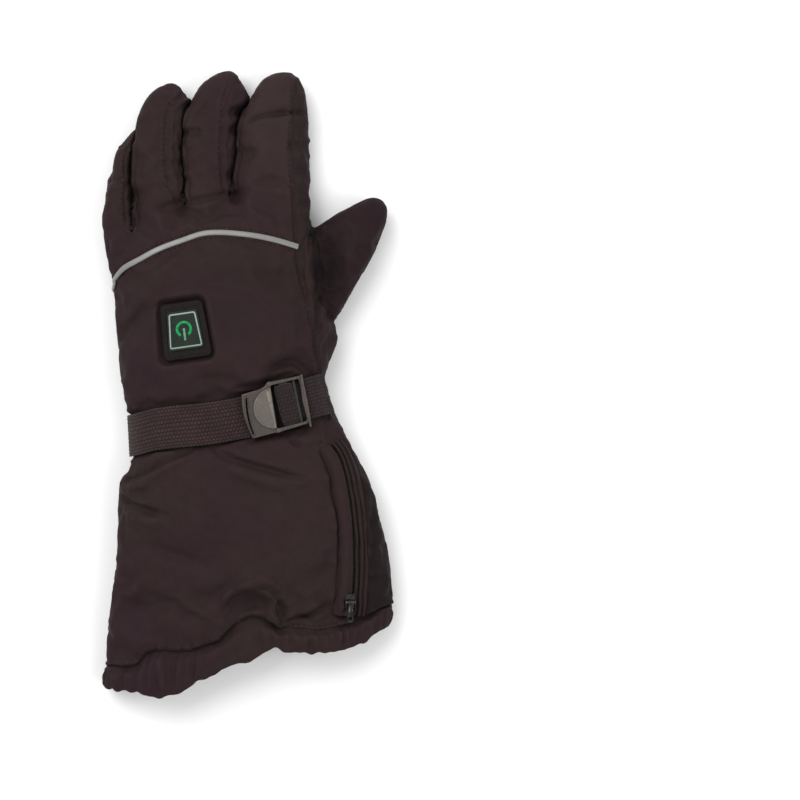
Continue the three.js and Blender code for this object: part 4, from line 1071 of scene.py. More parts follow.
# Seams, gathers and unevenness of the cloth
FACING_UP = (0.1, 0.5)
SEAM_HALF = 0.3
TIP_Y = 166.0
TIP_FADE = 10.0
GATHER_SIZE = 3.2
WIDE_GATHER_SIZE = 7.5
GATHER_STRENGTH = 1.7
DEEPEST_CREASE = 3.6
CREASE_FADE = 0.3
CLEAR_OF_SEAMS = (1.5, 9)
TUCK_SIZE = 7
TUCK_HEIGHT = 0.6
TUCK_REACH = 8
BROAD_SIZE = 36
BROAD_HEIGHT = 0.9
UNEVEN_SIZE = 14
UNEVEN_HEIGHT = 0.45

# The undersides of the fingers and of the thumb are drawn in, so that their upper halves make the outline
UNDERSIDE_IN = 3.4
FINGERS_FROM = (95, 125)
THUMB_OUT_FROM = (55, 66)
THUMB_ABOVE_Y = 40


def seam_height(rest, reach, looks, spots, facing_up):
    """Height of the cloth beside its seams: the pucker and the turned edge, less the valley."""
    valley = looks[:, 0] * np.exp(-np.maximum(reach - SEAM_HALF, 0) / looks[:, 1])
    valley *= (1 - 0.7 * smoothstep(rest[:, 1], TIP_Y, TIP_Y + TIP_FADE)) * (0.4 + 0.6 * facing_up)
    gather = noise_at(spots, GATHER_SIZE, 1) + 0.6 * noise_at(spots, WIDE_GATHER_SIZE, 4)
    pucker = looks[:, 2] * np.exp(-((reach - 1) / looks[:, 3]) ** 2) * gather * GATHER_STRENGTH
    rim = looks[:, 4] * np.exp(-((reach - RIM_AWAY) / RIM_WIDTH) ** 2)
    return pucker + rim - valley


def crease_height(rest, facing_up):
    """Height of the creases, none of which goes deeper than the lining allows."""
    creases = relief(rest[:, :2], CREASE_ROWS, CREASE_FADE)
    soft = DEEPEST_CREASE * np.tanh(creases / DEEPEST_CREASE)
    return np.where(creases < 0, soft, creases) * facing_up


def wrist_tucks(rest, gap):
    """Small tucks where the cloth is drawn in beside the strap."""
    drawn = rest * np.array([1, 0, 1])
    return TUCK_HEIGHT * noise_at(drawn, TUCK_SIZE, 6) * np.exp(-(np.maximum(gap, 0) / TUCK_REACH) ** 2)


def drawn_to(cloth, rest, rest_normals, depth, weight):
    """Draws the cloth to a depth below the skin's rest, as far as the weight says."""
    target = rest - rest_normals * depth
    return cloth + (target - cloth) * weight[:, None]


# The strap's channel round the wrist, with a pinch at the little finger's side
WRIST_HOLD = 12.4
WRIST_DEPTH = 0.4
WRIST_THUMB_X = 47
PINCH = 1.8
PINCH_SPAN = (-72, -58)

# The zip's channel and the ridges beside it
ZIP_HALF = 8.4
ZIP_MIDDLE = 1.3
ZIP_DEPTH = 2.3
ZIP_TOP_Y = -30.0
ZIP_END_Y = -135.5
RIDGE_HEIGHT = 0.5
RIDGE_AWAY = 2.6
RIDGE_WIDTH = 2.0


def along_strap(cloth, rest, rest_normals, gap):
    held = (1 - smoothstep(gap, -0.2, 2.6)) * (rest[:, 0] < WRIST_THUMB_X)
    pinch = PINCH * (1 - smoothstep(rest[:, 0], *PINCH_SPAN))
    return drawn_to(cloth, rest, rest_normals, (WRIST_DEPTH + pinch)[:, None], held)


def along_zip(cloth, rest, normals, rest_normals, facing_up):
    across = zip_distance(rest)
    y = rest[:, 1]
    beside = np.abs(across - ZIP_MIDDLE)
    channel = 1 - smoothstep(beside, ZIP_HALF - 1.2, ZIP_HALF + 1.0)
    channel *= smoothstep(y, ZIP_END_Y - 2.0, ZIP_END_Y + 1.5)
    channel *= 1 - smoothstep(y - 0.5 * across, ZIP_TOP_Y - 12.0, ZIP_TOP_Y - 3.0)
    channel *= facing_up
    cloth = drawn_to(cloth, rest, rest_normals, ZIP_DEPTH, channel)
    ridge = RIDGE_HEIGHT * np.exp(-((beside - ZIP_HALF - RIDGE_AWAY) / RIDGE_WIDTH) ** 2)
    ends = smoothstep(y, ZIP_END_Y, ZIP_END_Y + 12), 1 - smoothstep(y, ZIP_TOP_Y - 8, ZIP_TOP_Y)
    ridge *= facing_up * ends[0] * ends[1]
    return cloth + normals * ridge[:, None]


# How the switch and the buckle press on the cloth: levels on their own upward axes
UPPER_Z = 20
PAD_LEVEL = 0.9
PAD_NEAR = 12
LIP_HEIGHT = 0.2
LIP_AWAY = 3.9
LIP_WIDTH = 1.8
BUCKLE_LEVEL = -0.9
TAIL_START = 7.0
TAIL_END = 30.8
TAIL_PLACES = (TAIL_START, 18.6, 27.4, TAIL_END)
TAIL_LEVELS = (-1.75, -1.75, -4.9, -7.2)


def under_switch(cloth, rest, normals):
    outside = pad_distance(rest)
    near = (outside < PAD_NEAR) & (rest[:, 2] > UPPER_Z)
    weight = np.where(near, 1 - smoothstep(outside, 0.2, 2.6), 0)
    cloth = pushed_below(cloth, PAD_SEAT, weight, PAD_LEVEL)
    lip = LIP_HEIGHT * np.exp(-((outside - LIP_AWAY) / LIP_WIDTH) ** 2) * near
    return cloth + normals * lip[:, None]


def under_buckle(cloth, rest):
    u, v, _ = to_seat(rest, BUCKLE_SEAT).T
    on_top = rest[:, 2] > UPPER_Z
    outside = box_distance(u, v - BUCKLE_MIDDLE, BUCKLE_HALF + 0.4, BUCKLE_WIDE / 2 + 0.5)
    weight = np.where(on_top, 1 - smoothstep(outside, 0.2, 4.5), 0)
    cloth = pushed_below(cloth, BUCKLE_SEAT, weight, BUCKLE_LEVEL)
    outside = box_distance(u - (TAIL_START + TAIL_END) / 2, v - ANCHOR_MIDDLE,
                           (TAIL_END - TAIL_START) / 2, ANCHOR_WIDTH / 2 + 0.5, 1.0)
    weight = np.where(on_top, 1 - smoothstep(outside, 0.0, 2.0), 0)
    return pushed_below(cloth, BUCKLE_SEAT, weight, np.interp(u, TAIL_PLACES, TAIL_LEVELS))


def sculpted(rest, swollen, triangles, seams):
    """The swollen skin with its seams, gathers, creases, and the places where hardware presses on it."""
    reach, looks, spots = seam_reach(rest, seams)
    normals = vertex_normals(swollen, triangles)
    rest_normals = vertex_normals(rest, triangles)
    facing_up = smoothstep(rest_normals[:, 2], *FACING_UP)
    height = seam_height(rest, reach, looks, spots, facing_up) + crease_height(rest, facing_up)
    broad = BROAD_HEIGHT * noise_at(rest, BROAD_SIZE, 2) + UNEVEN_HEIGHT * noise_at(rest, UNEVEN_SIZE, 3)
    broad *= smoothstep(reach, *CLEAR_OF_SEAMS)
    gap = np.abs(wrist_distance(rest)) - WRIST_HOLD
    cloth = swollen + normals * (height + broad + wrist_tucks(rest, gap))[:, None]
    below = 1 - smoothstep(rest[:, 2], PALM_SEAM_HEIGHT - 1, PALM_SEAM_HEIGHT + 3)
    on_thumb = smoothstep(rest[:, 0], *THUMB_OUT_FROM) * (rest[:, 1] > THUMB_ABOVE_Y)
    beyond = np.maximum(smoothstep(rest[:, 1], *FINGERS_FROM), on_thumb)
    sideways = rest_normals * np.array([1, 1, 0])
    cloth -= sideways * (UNDERSIDE_IN * below * beyond)[:, None]

    cloth = along_strap(cloth, rest, rest_normals, gap)
    cloth = along_zip(cloth, rest, normals, rest_normals, facing_up)
    cloth = under_switch(cloth, rest, normals)
    cloth = under_buckle(cloth, rest)
    cloth[:, 2] = np.maximum(cloth[:, 2], 0)
    return cloth


LINING_DEPTH = 3.5
FINGER_LINING_DEPTH = 2.4
LINING_FINGER_Y = 98
LINING_BELOW = 1.5
LINING_LOWEST = 1.0


def lining(rest, cloth, triangles):
    """The inner face: under the outer one everywhere, also below creases."""
    normals = vertex_normals(rest, triangles)
    sunk = ((rest - cloth) * normals).sum(1)
    depth = np.where(rest[:, 1] > LINING_FINGER_Y, FINGER_LINING_DEPTH, LINING_DEPTH)
    inner = rest - normals * np.maximum(depth, sunk + LINING_BELOW)[:, None]
    inner[:, 2] = np.maximum(inner[:, 2], LINING_LOWEST)
    return inner


# Between two fingers: how high and how wide their shoulders stand beside the groove
SHOULDER_HEIGHT = 7.8
SHOULDER_REACH = 3.4
SHOULDER_END = 13
SHOULDER_FADE = 8
GROOVE_WIDTH = 0.55
GROOVE_BEGINS = (-5, 3)
GROOVE_ENDS = (-14, -1)

# Beside the groove, on its right: distance, width and height of the turned edge and of its seam
TURNED_EDGE = (1.9, 0.9, 0.7)
TURNED_SEAM = (3.9, 0.55, 0.8)


def hump(away, place, width, height):
    return height * np.exp(-((away - place) / width) ** 2)


def shouldered(cloth, rest, finger, normals):
    """Fills the fingers out where they lie against each other, which leaves a narrow groove."""
    out = cloth.copy()
    x, y, _ = rest.T
    facing = smoothstep(normals[:, 2], -0.1, 0.4)
    for k, gap in enumerate(FINGER_GAPS):
        away = x - side_of(gap, y)
        aside = np.abs(away)
        run = smoothstep(y, gap[-1, 1] + GROOVE_BEGINS[0], gap[-1, 1] + GROOVE_BEGINS[1])
        run *= 1 - smoothstep(y, NOTCHES[k] + GROOVE_ENDS[0], NOTCHES[k] + GROOVE_ENDS[1])
        beside = ((finger == k) | (finger == k + 1)) & (aside < SHOULDER_END) & (x < THUMB_SIDE_X)
        lift = SHOULDER_HEIGHT * np.exp(-aside / SHOULDER_REACH) * (1 - np.exp(-aside / GROOVE_WIDTH))
        lift *= 1 - smoothstep(aside, SHOULDER_FADE, SHOULDER_END)
        edge = hump(away, *TURNED_EDGE) - hump(away, *TURNED_SEAM)
        lift += np.where(finger == k, edge, 0)
        out[:, 2] += np.where(beside, lift * run * facing, 0)
    return out


# The cloth's outline is fitted to the outline tables
OUTLINE_STEP = 1.2
TIP_REACH = 13.0
MOST_SHIFT = 4
MIDDLE_X = -20
FINGER_RAMP = 12
THUMB_RAMP = (0.3, 6)
CLEAR_OF_STRAP = (11.5, 15)
LEFT_FADE = (84, 96)
LEFT_TO_Y = 98
RIGHT_FADE = (34, 42)
RIGHT_TO_Y = 44
OUTER_PART = 26
OUTER_EDGE = 2
NARROWEST = 0.8
BROADEST = 1.4
TURN = 12.0
OVERREACH = 0.7
THUMB_AXIS = np.array([0.62, 0.7846])
THUMB_ROOT = np.array([43.0, 63.0])


def smoothed(values, span):
    """The values, each averaged over a span of neighbours."""
    return np.convolve(np.pad(values, span // 2, "edge"), np.ones(span) / span, "valid")


def widest(stations, radii, step=OUTLINE_STEP, span=5):
    """The smoothed largest radius at each station, as a curve of stations and radii."""
    start = stations.min()
    bins = ((stations - start) / step).astype(int)
    count = bins.max() + 1
    most = np.zeros(count)
    np.maximum.at(most, bins, radii)
    filled = np.nonzero(most > 0)[0]
    most = np.interp(np.arange(count), filled, most[filled])
    return start + (np.arange(count) + 0.5) * step, smoothed(most, span)


def fitted_tip(plan, outline):
    """Moves in plan that take a finger, which points up, to its outline."""
    curve = dense(outline, 0.3)
    top = curve[:, 1].max()
    peak = int(np.argmax(curve[:, 1]))
    right, left = curve[:peak + 1], curve[peak:][::-1]
    middle_y = np.arange(max(right[0, 1], left[0, 1]), top - TIP_REACH + 1e-6, 0.5)
    right_x = np.interp(middle_y, np.maximum.accumulate(right[:, 1]), right[:, 0])
    left_x = np.interp(middle_y, np.maximum.accumulate(left[:, 1]), left[:, 0])
    middle_x = smoothed((right_x + left_x) / 2, 9)
    centre = np.array([middle_x[-1], middle_y[-1]])

    def polar(points):
        """How far round the outline points lie, their distance from the middle line and its nearest point."""
        above = points[:, 1] > centre[1]
        middle = np.where(above, centre[0], np.interp(points[:, 1], middle_y, middle_x))
        foot = np.stack([middle, np.minimum(points[:, 1], centre[1])], axis=1)
        offset = points - foot
        radius = np.linalg.norm(offset, axis=1)
        turn = np.arctan2(offset[:, 1], offset[:, 0]) * TURN
        right_side = points[:, 1] - centre[1]
        left_side = math.pi * TURN + centre[1] - points[:, 1]
        beside = np.where(offset[:, 0] > 0, right_side, left_side)
        return np.where(above, turn, beside), radius, foot

    want_station, want_radius, _ = polar(curve)
    order = np.argsort(want_station)
    station, radius, foot = polar(plan)
    stations, most = widest(station, radius, 1.0, 3)
    want = np.interp(stations, want_station[order], want_radius[order])
    ratio = np.interp(station, stations, want / most)
    return (foot + (plan - foot) * np.clip(ratio, NARROWEST, BROADEST)[:, None]) - plan


def finger_outline(k):
    """A finger's outline in plan. Where it touches a neighbour it reaches past the groove between them."""
    right = INDEX_SIDE if k == 0 else FINGER_GAPS[k - 1][::-1] + [OVERREACH, 0]
    left = LITTLE_SIDE if k == 3 else FINGER_GAPS[k] - [OVERREACH, 0]
    tip = np.array(FINGERTIPS[k])
    tip[0, 0] += OVERREACH * (k > 0)
    tip[-1, 0] -= OVERREACH * (k < 3)
    right = [point for point in right if point[1] < tip[0, 1] - 1.5]
    left = [point for point in left if point[1] < tip[-1, 1] - 1.5]
    return np.array(list(right) + list(tip) + list(left), float)


def fitted_outline(cloth, rest, finger, thumb):
    """The cloth with its outline, seen from above, fitted to the tables."""
    moves = np.zeros((len(cloth), 2))
    y = rest[:, 1]
    for k in range(4):
        ends = [gap[-1, 1] for gap in FINGER_GAPS[max(0, k - 1):k + 1]]
        mine = (finger == k) & (y > max(ends)) & (thumb < 0)
        weight = smoothstep(y[mine], max(ends), max(ends) + FINGER_RAMP)
        moves[mine] += fitted_tip(cloth[mine, :2], finger_outline(k)) * weight[:, None]
    turn = np.array([[THUMB_AXIS[1], THUMB_AXIS[0]], [-THUMB_AXIS[0], THUMB_AXIS[1]]])
    mine = thumb > 0
    weight = smoothstep(thumb[mine], *THUMB_RAMP)
    tip = fitted_tip((cloth[mine, :2] - THUMB_ROOT) @ turn, (THUMB_OUTLINE - THUMB_ROOT) @ turn)
    moves[mine] += (tip @ turn.T) * weight[:, None]

    wrist = np.abs(wrist_distance(rest))
    for sign, outline in ((-1, LEFT_OUTLINE), (1, RIGHT_OUTLINE)):
        if sign < 0:
            weight = smoothstep(wrist, *CLEAR_OF_STRAP) * (1 - smoothstep(y, *LEFT_FADE))
            body = y < LEFT_TO_Y
        else:
            weight = 1 - smoothstep(y, *RIGHT_FADE)
            body = y < RIGHT_TO_Y
        from_middle = sign * (cloth[:, 0] - MIDDLE_X)
        body &= from_middle > 0
        stations, most = widest(y[body], from_middle[body])
        want = np.interp(-stations, -outline[:, 1], sign * (outline[:, 0] - MIDDLE_X))
        most = np.interp(y[body], stations, most)
        short = np.interp(y[body], stations, want) - most
        outer = smoothstep(from_middle[body], most - OUTER_PART, most - OUTER_EDGE)
        moves[body, 0] += sign * np.clip(short, -MOST_SHIFT, MOST_SHIFT) * outer * weight[body]
    fitted = cloth.copy()
    fitted[:, :2] += moves
    return fitted


def boundary_edges(triangles):
    """Directed edges that only one triangle has."""
    edges = np.concatenate([triangles[:, [0, 1]], triangles[:, [1, 2]], triangles[:, [2, 0]]])
    count = triangles.max() + 1
    keys = edges[:, 0] * count + edges[:, 1]
    back = edges[:, 1] * count + edges[:, 0]
    return edges[~np.isin(keys, back)]


def closed_cloth(name, triangles, outer, inner, materials):
    """A piece of padded cloth: its outer face, its lining face and its edge."""
    used, inverse = np.unique(triangles, return_inverse=True)
    top = inverse.reshape(-1, 3)
    count = len(used)
    bottom = top[:, ::-1] + count
    edges = boundary_edges(top)
    a, b = edges.T
    sides = np.concatenate([
        np.stack([b, a, a + count], axis=1),
        np.stack([b, a + count, b + count], axis=1),
    ])
    points = np.concatenate([outer[used], inner[used]])
    piece = mesh_object(name, points, np.concatenate([top, bottom, sides]), materials[0])
    piece.data.materials.append(materials[1])
    index = np.zeros(len(top) + len(bottom) + len(sides), int)
    index[len(top):] = 1
    piece.data.polygons.foreach_set("material_index", index)
    sharp = np.zeros(len(piece.data.edges), bool)
    ends = np.zeros(len(piece.data.edges) * 2, int)
    piece.data.edges.foreach_get("vertices", ends)
    ends = np.sort(ends.reshape(-1, 2), axis=1)
    border = np.sort(np.concatenate([edges, edges + count]), axis=1)
    sharp[np.isin(ends[:, 0] * 2 * count + ends[:, 1], border[:, 0] * 2 * count + border[:, 1])] = True
    piece.data.attributes.new("sharp_edge", "BOOLEAN", "EDGE").data.foreach_set("value", sharp)
    return piece


def set_attribute(obj, name, values):
    """Stores a number for each point, which the material reads."""
    full = np.zeros(len(obj.data.vertices))
    full[:len(values)] = values
    obj.data.attributes.new(name, "FLOAT", "POINT").data.foreach_set("value", full)


# Flat pieces with rounded edges

def rounded(corners, radius, steps=6):
    """A polygon with its corners rounded, counter-clockwise as the corners are."""
    corners = np.asarray(corners, float)
    out = []
    for k, point in enumerate(corners):
        before = corners[k - 1] - point
        after = corners[(k + 1) % len(corners)] - point
        start = point + before / np.linalg.norm(before) * radius
        end = point + after / np.linalg.norm(after) * radius
        for f in np.linspace(0, 1, steps):
            out.append((1 - f) ** 2 * start + 2 * f * (1 - f) * point + f ** 2 * end)
    return np.array(out)


def trapezoid(shape, grow=0.0):
    """The outline of the pad, the key or the printed frame."""
    half = shape["height"] / 2 + grow
    low = shape["bottom"] / 2 + grow
    high = shape["top"] / 2 + grow
    corners = [(-low, -half), (low, -half), (high, half), (-high, half)]
    return rounded(corners, max(0.3, shape["corner"] + grow))


def arc(radius, start, end, steps, middle):
    """Points of an arc between two angles in degrees."""
    angles = np.radians(np.linspace(start, end, steps))
    return np.stack([middle[0] + radius * np.cos(angles), middle[1] + radius * np.sin(angles)], axis=1)


def strip(line, half):
    """A closed outline along both sides of a line, at a distance that may change along it."""
    curve = dense(line, 0.8)
    half = np.interp(np.linspace(0, 1, len(curve)), np.linspace(0, 1, len(half)), half)
    left = to_left(directions(curve)) * half[:, None]
    return np.concatenate([curve - left, (curve + left)[::-1]])


def inset(outline, amount):
    """The outline moved inwards, or outwards if the amount is negative."""
    left_before = to_left(unit(outline - np.roll(outline, 1, axis=0)))
    left_after = to_left(unit(np.roll(outline, -1, axis=0) - outline))
    middle = unit(left_before + left_after)
    scale = amount / np.maximum((middle * left_after).sum(1), 0.5)
    return outline + middle * scale[:, None]


def bevel_profile(bevel, middle, start, end, steps):
    """Insets and heights round a quarter of a bevel, between two angles in degrees."""
    angles = np.radians(np.linspace(start, end, steps + 1))
    return [(bevel * (1 - math.cos(a)), middle + bevel * math.sin(a)) for a in angles]


def capped(points, loops, downwards):
    """Triangles that fill the first loop, round the others as holes, facing down or up."""
    faces = []
    polygons = [[Vector((*points[i, :2], 0)) for i in loop] for loop in loops]
    index = np.concatenate(loops)
    for triangle in geometry.tessellate_polygon(polygons):
        face = [int(index[i]) for i in triangle]
        a, b, c = points[face][:, :2]
        area = (b[0] - a[0]) * (c[1] - a[1]) - (b[1] - a[1]) * (c[0] - a[0])
        faces.append(face[::-1] if (area > 0) == downwards else face)
    return faces


def plate(outline, low, high, bevel, holes=(), steps=4):
    """A closed flat piece with rounded edges and holes."""
    points = []
    faces = []
    tops = []
    bottoms = []
    profile = bevel_profile(bevel, low + bevel, -90, 0, steps)
    profile += bevel_profile(bevel, high - bevel, 0, 90, steps)
    start = 0
    for loop, sign in [(outline, 1)] + [(hole, -1) for hole in holes]:
        count = len(loop)
        for amount, z in profile:
            points.append(np.column_stack([inset(loop, amount * sign), np.full(count, z)]))
        grid, quads = ring_grid(len(profile), count, start)
        faces += (quads if sign > 0 else quads[:, ::-1]).tolist()
        bottoms.append(grid[0])
        tops.append(grid[-1])
        start += len(profile) * count
    points = np.concatenate(points)
    faces += capped(points, bottoms, True) + capped(points, tops, False)
    return points, faces


def upright(shape, y=0.0, z=0.0):
    """A plate stood on edge across a seat, moved by y and z."""
    points, faces = shape
    points = np.column_stack([points[:, 0], -points[:, 2] + y, points[:, 1] + z])
    return points, outward(points, faces)


def tube(rings):
    """A closed mesh through rings, facing outwards."""
    points, faces = loft(np.asarray(rings))
    return points, outward(points, faces)


def bar(radius, from_y, to_y, height):
    """A round bar along a seat's y axis, with its ends rounded off."""
    soft = min(0.25, radius / 3)
    thin = radius - soft
    angles = full_turn(20)
    rings = []
    for y, r in ((from_y, thin), (from_y + soft, radius), (to_y - soft, radius), (to_y, thin)):
        x, z = r * np.cos(angles), height + r * np.sin(angles)
        rings.append(np.column_stack([x, np.full(len(angles), y), z]))
    return tube(rings)


def swept(centres, ups, section):
    """A closed form: a section, given as (side, rise) points, along a path with upward directions."""
    along = directions(centres)
    across = unit(np.cross(along, ups))
    up = np.cross(across, along)
    section = np.asarray(section, float)
    if section.ndim == 2:
        section = np.repeat(section[None], len(centres), axis=0)
    return tube(centres[:, None] + across[:, None] * section[..., :1] + up[:, None] * section[..., 1:])


# Paths on the skin

def on_skin(plan, tree, lift=0.0):
    """Points of the surface above a line in plan, and the surface's directions there."""
    spots = []
    ups = []
    for x, y in plan:
        hit, normal = seen_from_above(tree, x, y)
        spots.append(np.array(hit) + np.array(normal) * lift)
        ups.append(normal)
    spots = np.array(spots)
    ups = np.array([np.array(up) for up in ups])
    for _ in range(6):
        ups[1:-1] = (ups[:-2] + ups[1:-1] + ups[2:]) / 3
        spots[1:-1] = (spots[:-2] + 2 * spots[1:-1] + spots[2:]) / 4
    return spots, unit(ups)


# Materials. The wave texture's bands are BAND_SCALE / scale millimetres apart.
STRAP_WIDTH = 24.0
CORDS = 12
PICK = 2.0
BAND_SCALE = 314.16


class Looks:
    """A material and its nodes."""

    def __init__(self, name, roughness=0.7, **constants):
        self.material = bpy.data.materials.new(name)
        self.material.use_nodes = True
        self.tree = self.material.node_tree
        self.shader = self.tree.nodes["Principled BSDF"]
        self.shader.inputs["Roughness"].default_value = roughness
        for socket, value in constants.items():
            self.shader.inputs[socket.replace("_", " ")].default_value = value
        self.place = self.node("ShaderNodeTexCoord").outputs["Object"]

    def node(self, kind, inputs=None, **settings):
        node = self.tree.nodes.new(kind)
        for name, value in settings.items():
            setattr(node, name, value)
        for name, value in (inputs or {}).items():
            self.feed(node.inputs[name], value)
        return node

    def feed(self, socket, value):
        if isinstance(value, bpy.types.NodeSocket):
            self.tree.links.new(value, socket)
        else:
            socket.default_value = value

    def math(self, operation, a, b):
        node = self.node("ShaderNodeMath", operation=operation)
        self.feed(node.inputs[0], a)
        self.feed(node.inputs[1], b)
        return node.outputs[0]

    def noise(self, size, detail=3.0, roughness=0.5, seed=0.0):
        """Noise whose features are about size millimetres."""
        vector = self.place
        if seed:
            moved = {"Vector": vector, "Location": (seed, seed, seed)}
            vector = self.node("ShaderNodeMapping", moved).outputs[0]
        inputs = {"Vector": vector, "Scale": 1000 / size, "Detail": detail, "Roughness": roughness}
        return self.node("ShaderNodeTexNoise", inputs).outputs["Fac"]

    def bands(self, direction, period):
        """Waves along one direction, with their period in millimetres."""
        inputs = {"Vector": self.place, "Scale": BAND_SCALE / period}
        node = self.node("ShaderNodeTexWave", inputs, wave_type="BANDS", bands_direction=direction)
        return node.outputs["Fac"]

    def span(self, value, low, high, to_low=0.0, to_high=1.0):
        """A value's way from low to high, as its way between two other values."""
        inputs = {"Value": value, "From Min": low, "From Max": high, "To Min": to_low, "To Max": to_high}
        return self.node("ShaderNodeMapRange", inputs).outputs["Result"]

    def blend(self, share, a, b):
        node = self.node("ShaderNodeMix", data_type="RGBA")
        self.feed(node.inputs["Factor"], share)
        self.feed(node.inputs[6], a)
        self.feed(node.inputs[7], b)
        return node.outputs[2]

    def colour(self, value):
        self.feed(self.shader.inputs["Base Color"], value)

    def rough(self, value):
        self.feed(self.shader.inputs["Roughness"], value)

    def bump(self, height, strength, distance):
        """Relief of a height from 0 to 1, with its distance in millimetres."""
        inputs = {"Height": height, "Strength": strength, "Distance": distance * MM}
        node = self.node("ShaderNodeBump", inputs)
        self.tree.links.new(node.outputs["Normal"], self.shader.inputs["Normal"])

    def shaded(self, value, reach):
        """A colour with painted shade: darker in hollows that are about as deep as the reach."""
        node = self.node("ShaderNodeAmbientOcclusion", {"Distance": reach * MM}, samples=5)
        open_share = self.span(node.outputs["AO"], 0.3, 0.92, 0.3, 1.0)
        return self.blend(open_share, tone(0.001, 0.0008, 0.0008), value)

    def spot(self, x, y, wide, high):
        """A share that is 1 in the middle of an ellipse in plan, in millimetres, and 0 at its edge."""
        place = (-(x + CENTRING[0]) / wide, -(y + CENTRING[1]) / high, 0)
        inputs = {"Vector": self.place, "Location": place, "Scale": (1000 / wide, 1000 / high, 0)}
        across = self.node("ShaderNodeMapping", inputs).outputs[0]
        node = self.node("ShaderNodeVectorMath", operation="LENGTH")
        self.tree.links.new(across, node.inputs[0])
        return self.span(node.outputs["Value"], 0.3, 1.0, 1.0, 0.0)

    def attribute(self, name):
        return self.node("ShaderNodeAttribute", attribute_name=name).outputs["Fac"]

    def edge_wear_and_highlight(self, low, high):
        """A share that is 1 on the sharpest edges, where the materials put wear and painted highlight."""
        return self.span(self.node("ShaderNodeNewGeometry").outputs["Pointiness"], low, high)


def tone(red, green, blue):
    return (red, green, blue, 1.0)


def times(colour, factor):
    """A colour made darker or lighter, at most white."""
    return tone(*(min(1.0, factor * v) for v in colour[:3]))


def cloth_looks(name, plum, brown, weave, sheen, *spots):
    """Woven shell fabric, mottled between two colours, with spots of other colours in plan, of which the
    thumb root's dark spot is painted shade. Its sharp edges are lighter, partly wear and partly painted
    highlight, and its hollows get painted shade.
    """
    looks = Looks(name, Specular_IOR_Level=0.05, Sheen_Weight=sheen, Sheen_Roughness=0.45,
                  Sheen_Tint=tone(0.75, 0.62, 0.6))
    patches = looks.span(looks.noise(46, 2.0), 0.36, 0.64)
    base = looks.blend(patches, plum, brown)
    mottled = looks.span(looks.noise(5.0, 4.0, 0.6, seed=0.3), 0.3, 0.7, 0.0, 0.32)
    base = looks.blend(mottled, base, times(plum, 0.62))
    for place, shade in spots:
        base = looks.blend(looks.spot(*place), base, shade)
    # Lighter sharp edges and ridges: partly wear, partly painted highlight.
    wear_and_highlight = looks.math("MULTIPLY", looks.edge_wear_and_highlight(0.505, 0.57), looks.span(looks.noise(9.0, 3.0), 0.3, 0.7))
    base = looks.blend(looks.math("MULTIPLY", wear_and_highlight, 0.4), base, times(brown, 2.1))
    warp = looks.bands("X", weave)
    weft = looks.bands("Y", weave)
    upright = looks.bands("Z", weave)
    threads = looks.math("MULTIPLY", looks.math("ADD", warp, upright), weft)
    fibres = looks.noise(0.5, 3.0, 0.7)
    threads = looks.math("ADD", looks.math("MULTIPLY", threads, 0.5), looks.math("MULTIPLY", fibres, 0.9))
    shade = looks.span(threads, 0.2, 1.2, 0.0, 0.28)
    looks.colour(looks.shaded(looks.blend(shade, base, times(plum, 1.7)), 7.0))
    looks.rough(looks.span(looks.noise(7.0, 3.0, seed=0.7), 0.3, 0.7, 0.62, 0.82))
    looks.bump(threads, 0.35, 0.16)
    return looks.material


def lining_looks():
    looks = Looks("lining_fleece", 0.9, Specular_IOR_Level=0.08, Sheen_Weight=0.06, Sheen_Roughness=0.6)
    nap = looks.noise(0.9, 4.0, 0.75)
    tufts = looks.noise(3.2, 2.0, seed=0.4)
    looks.colour(looks.blend(looks.span(nap, 0.3, 0.7), tone(0.012, 0.011, 0.012), tone(0.03, 0.027, 0.029)))
    looks.rough(looks.span(tufts, 0.3, 0.7, 0.85, 0.98))
    looks.bump(looks.math("ADD", nap, tufts), 0.8, 0.5)
    return looks.material


def webbing_looks(name, dark, light):
    """Woven webbing: its cords run lengthways, and its picks cross them. Its colour is dark between the cords
    and light on their tops, painted shade and highlight of the weave, and its hollows get painted shade.
    """
    looks = Looks(name, Specular_IOR_Level=0.15, Sheen_Weight=0.08, Sheen_Roughness=0.5)
    run = looks.attribute("run")
    side = looks.attribute("side")
    bricks = looks.node("ShaderNodeTexBrick", {
        "Vector": looks.node("ShaderNodeCombineXYZ", {"X": run, "Y": side}).outputs[0],
        "Scale": 1.0,
        "Mortar Size": 0.36,
        "Mortar Smooth": 0.75,
        "Brick Width": PICK,
        "Row Height": STRAP_WIDTH / CORDS,
        "Color1": tone(1, 1, 1),
        "Color2": tone(0.6, 0.6, 0.6),
        "Mortar": tone(0, 0, 0),
    })
    floats = looks.node("ShaderNodeRGBToBW", {"Color": bricks.outputs["Color"]}).outputs[0]
    fibres = looks.noise(0.35, 3.0, 0.7)
    patches = looks.noise(14, 3.0, seed=0.2)
    height = looks.math("ADD", floats, looks.math("MULTIPLY", fibres, 0.3))
    # Dark between the cords and light on their tops: painted shade and highlight of the weave.
    share = looks.math("MULTIPLY", height, looks.span(patches, 0.25, 0.75, 0.55, 1.0))
    looks.colour(looks.shaded(looks.blend(share, dark, light), 4.0))
    looks.rough(looks.span(fibres, 0.3, 0.7, 0.62, 0.85))
    looks.bump(height, 0.8, 0.3)
    return looks.material


def thread_looks():
    looks = Looks("sewing_thread", 0.8, Specular_IOR_Level=0.1, Sheen_Weight=0.02)
    twist = looks.bands("DIAGONAL", 0.45)
    looks.colour(looks.blend(twist, tone(0.009, 0.005, 0.006), tone(0.0185, 0.0105, 0.012)))
    looks.rough(looks.span(twist, 0.0, 1.0, 0.7, 0.85))
    looks.bump(twist, 0.5, 0.08)
    return looks.material


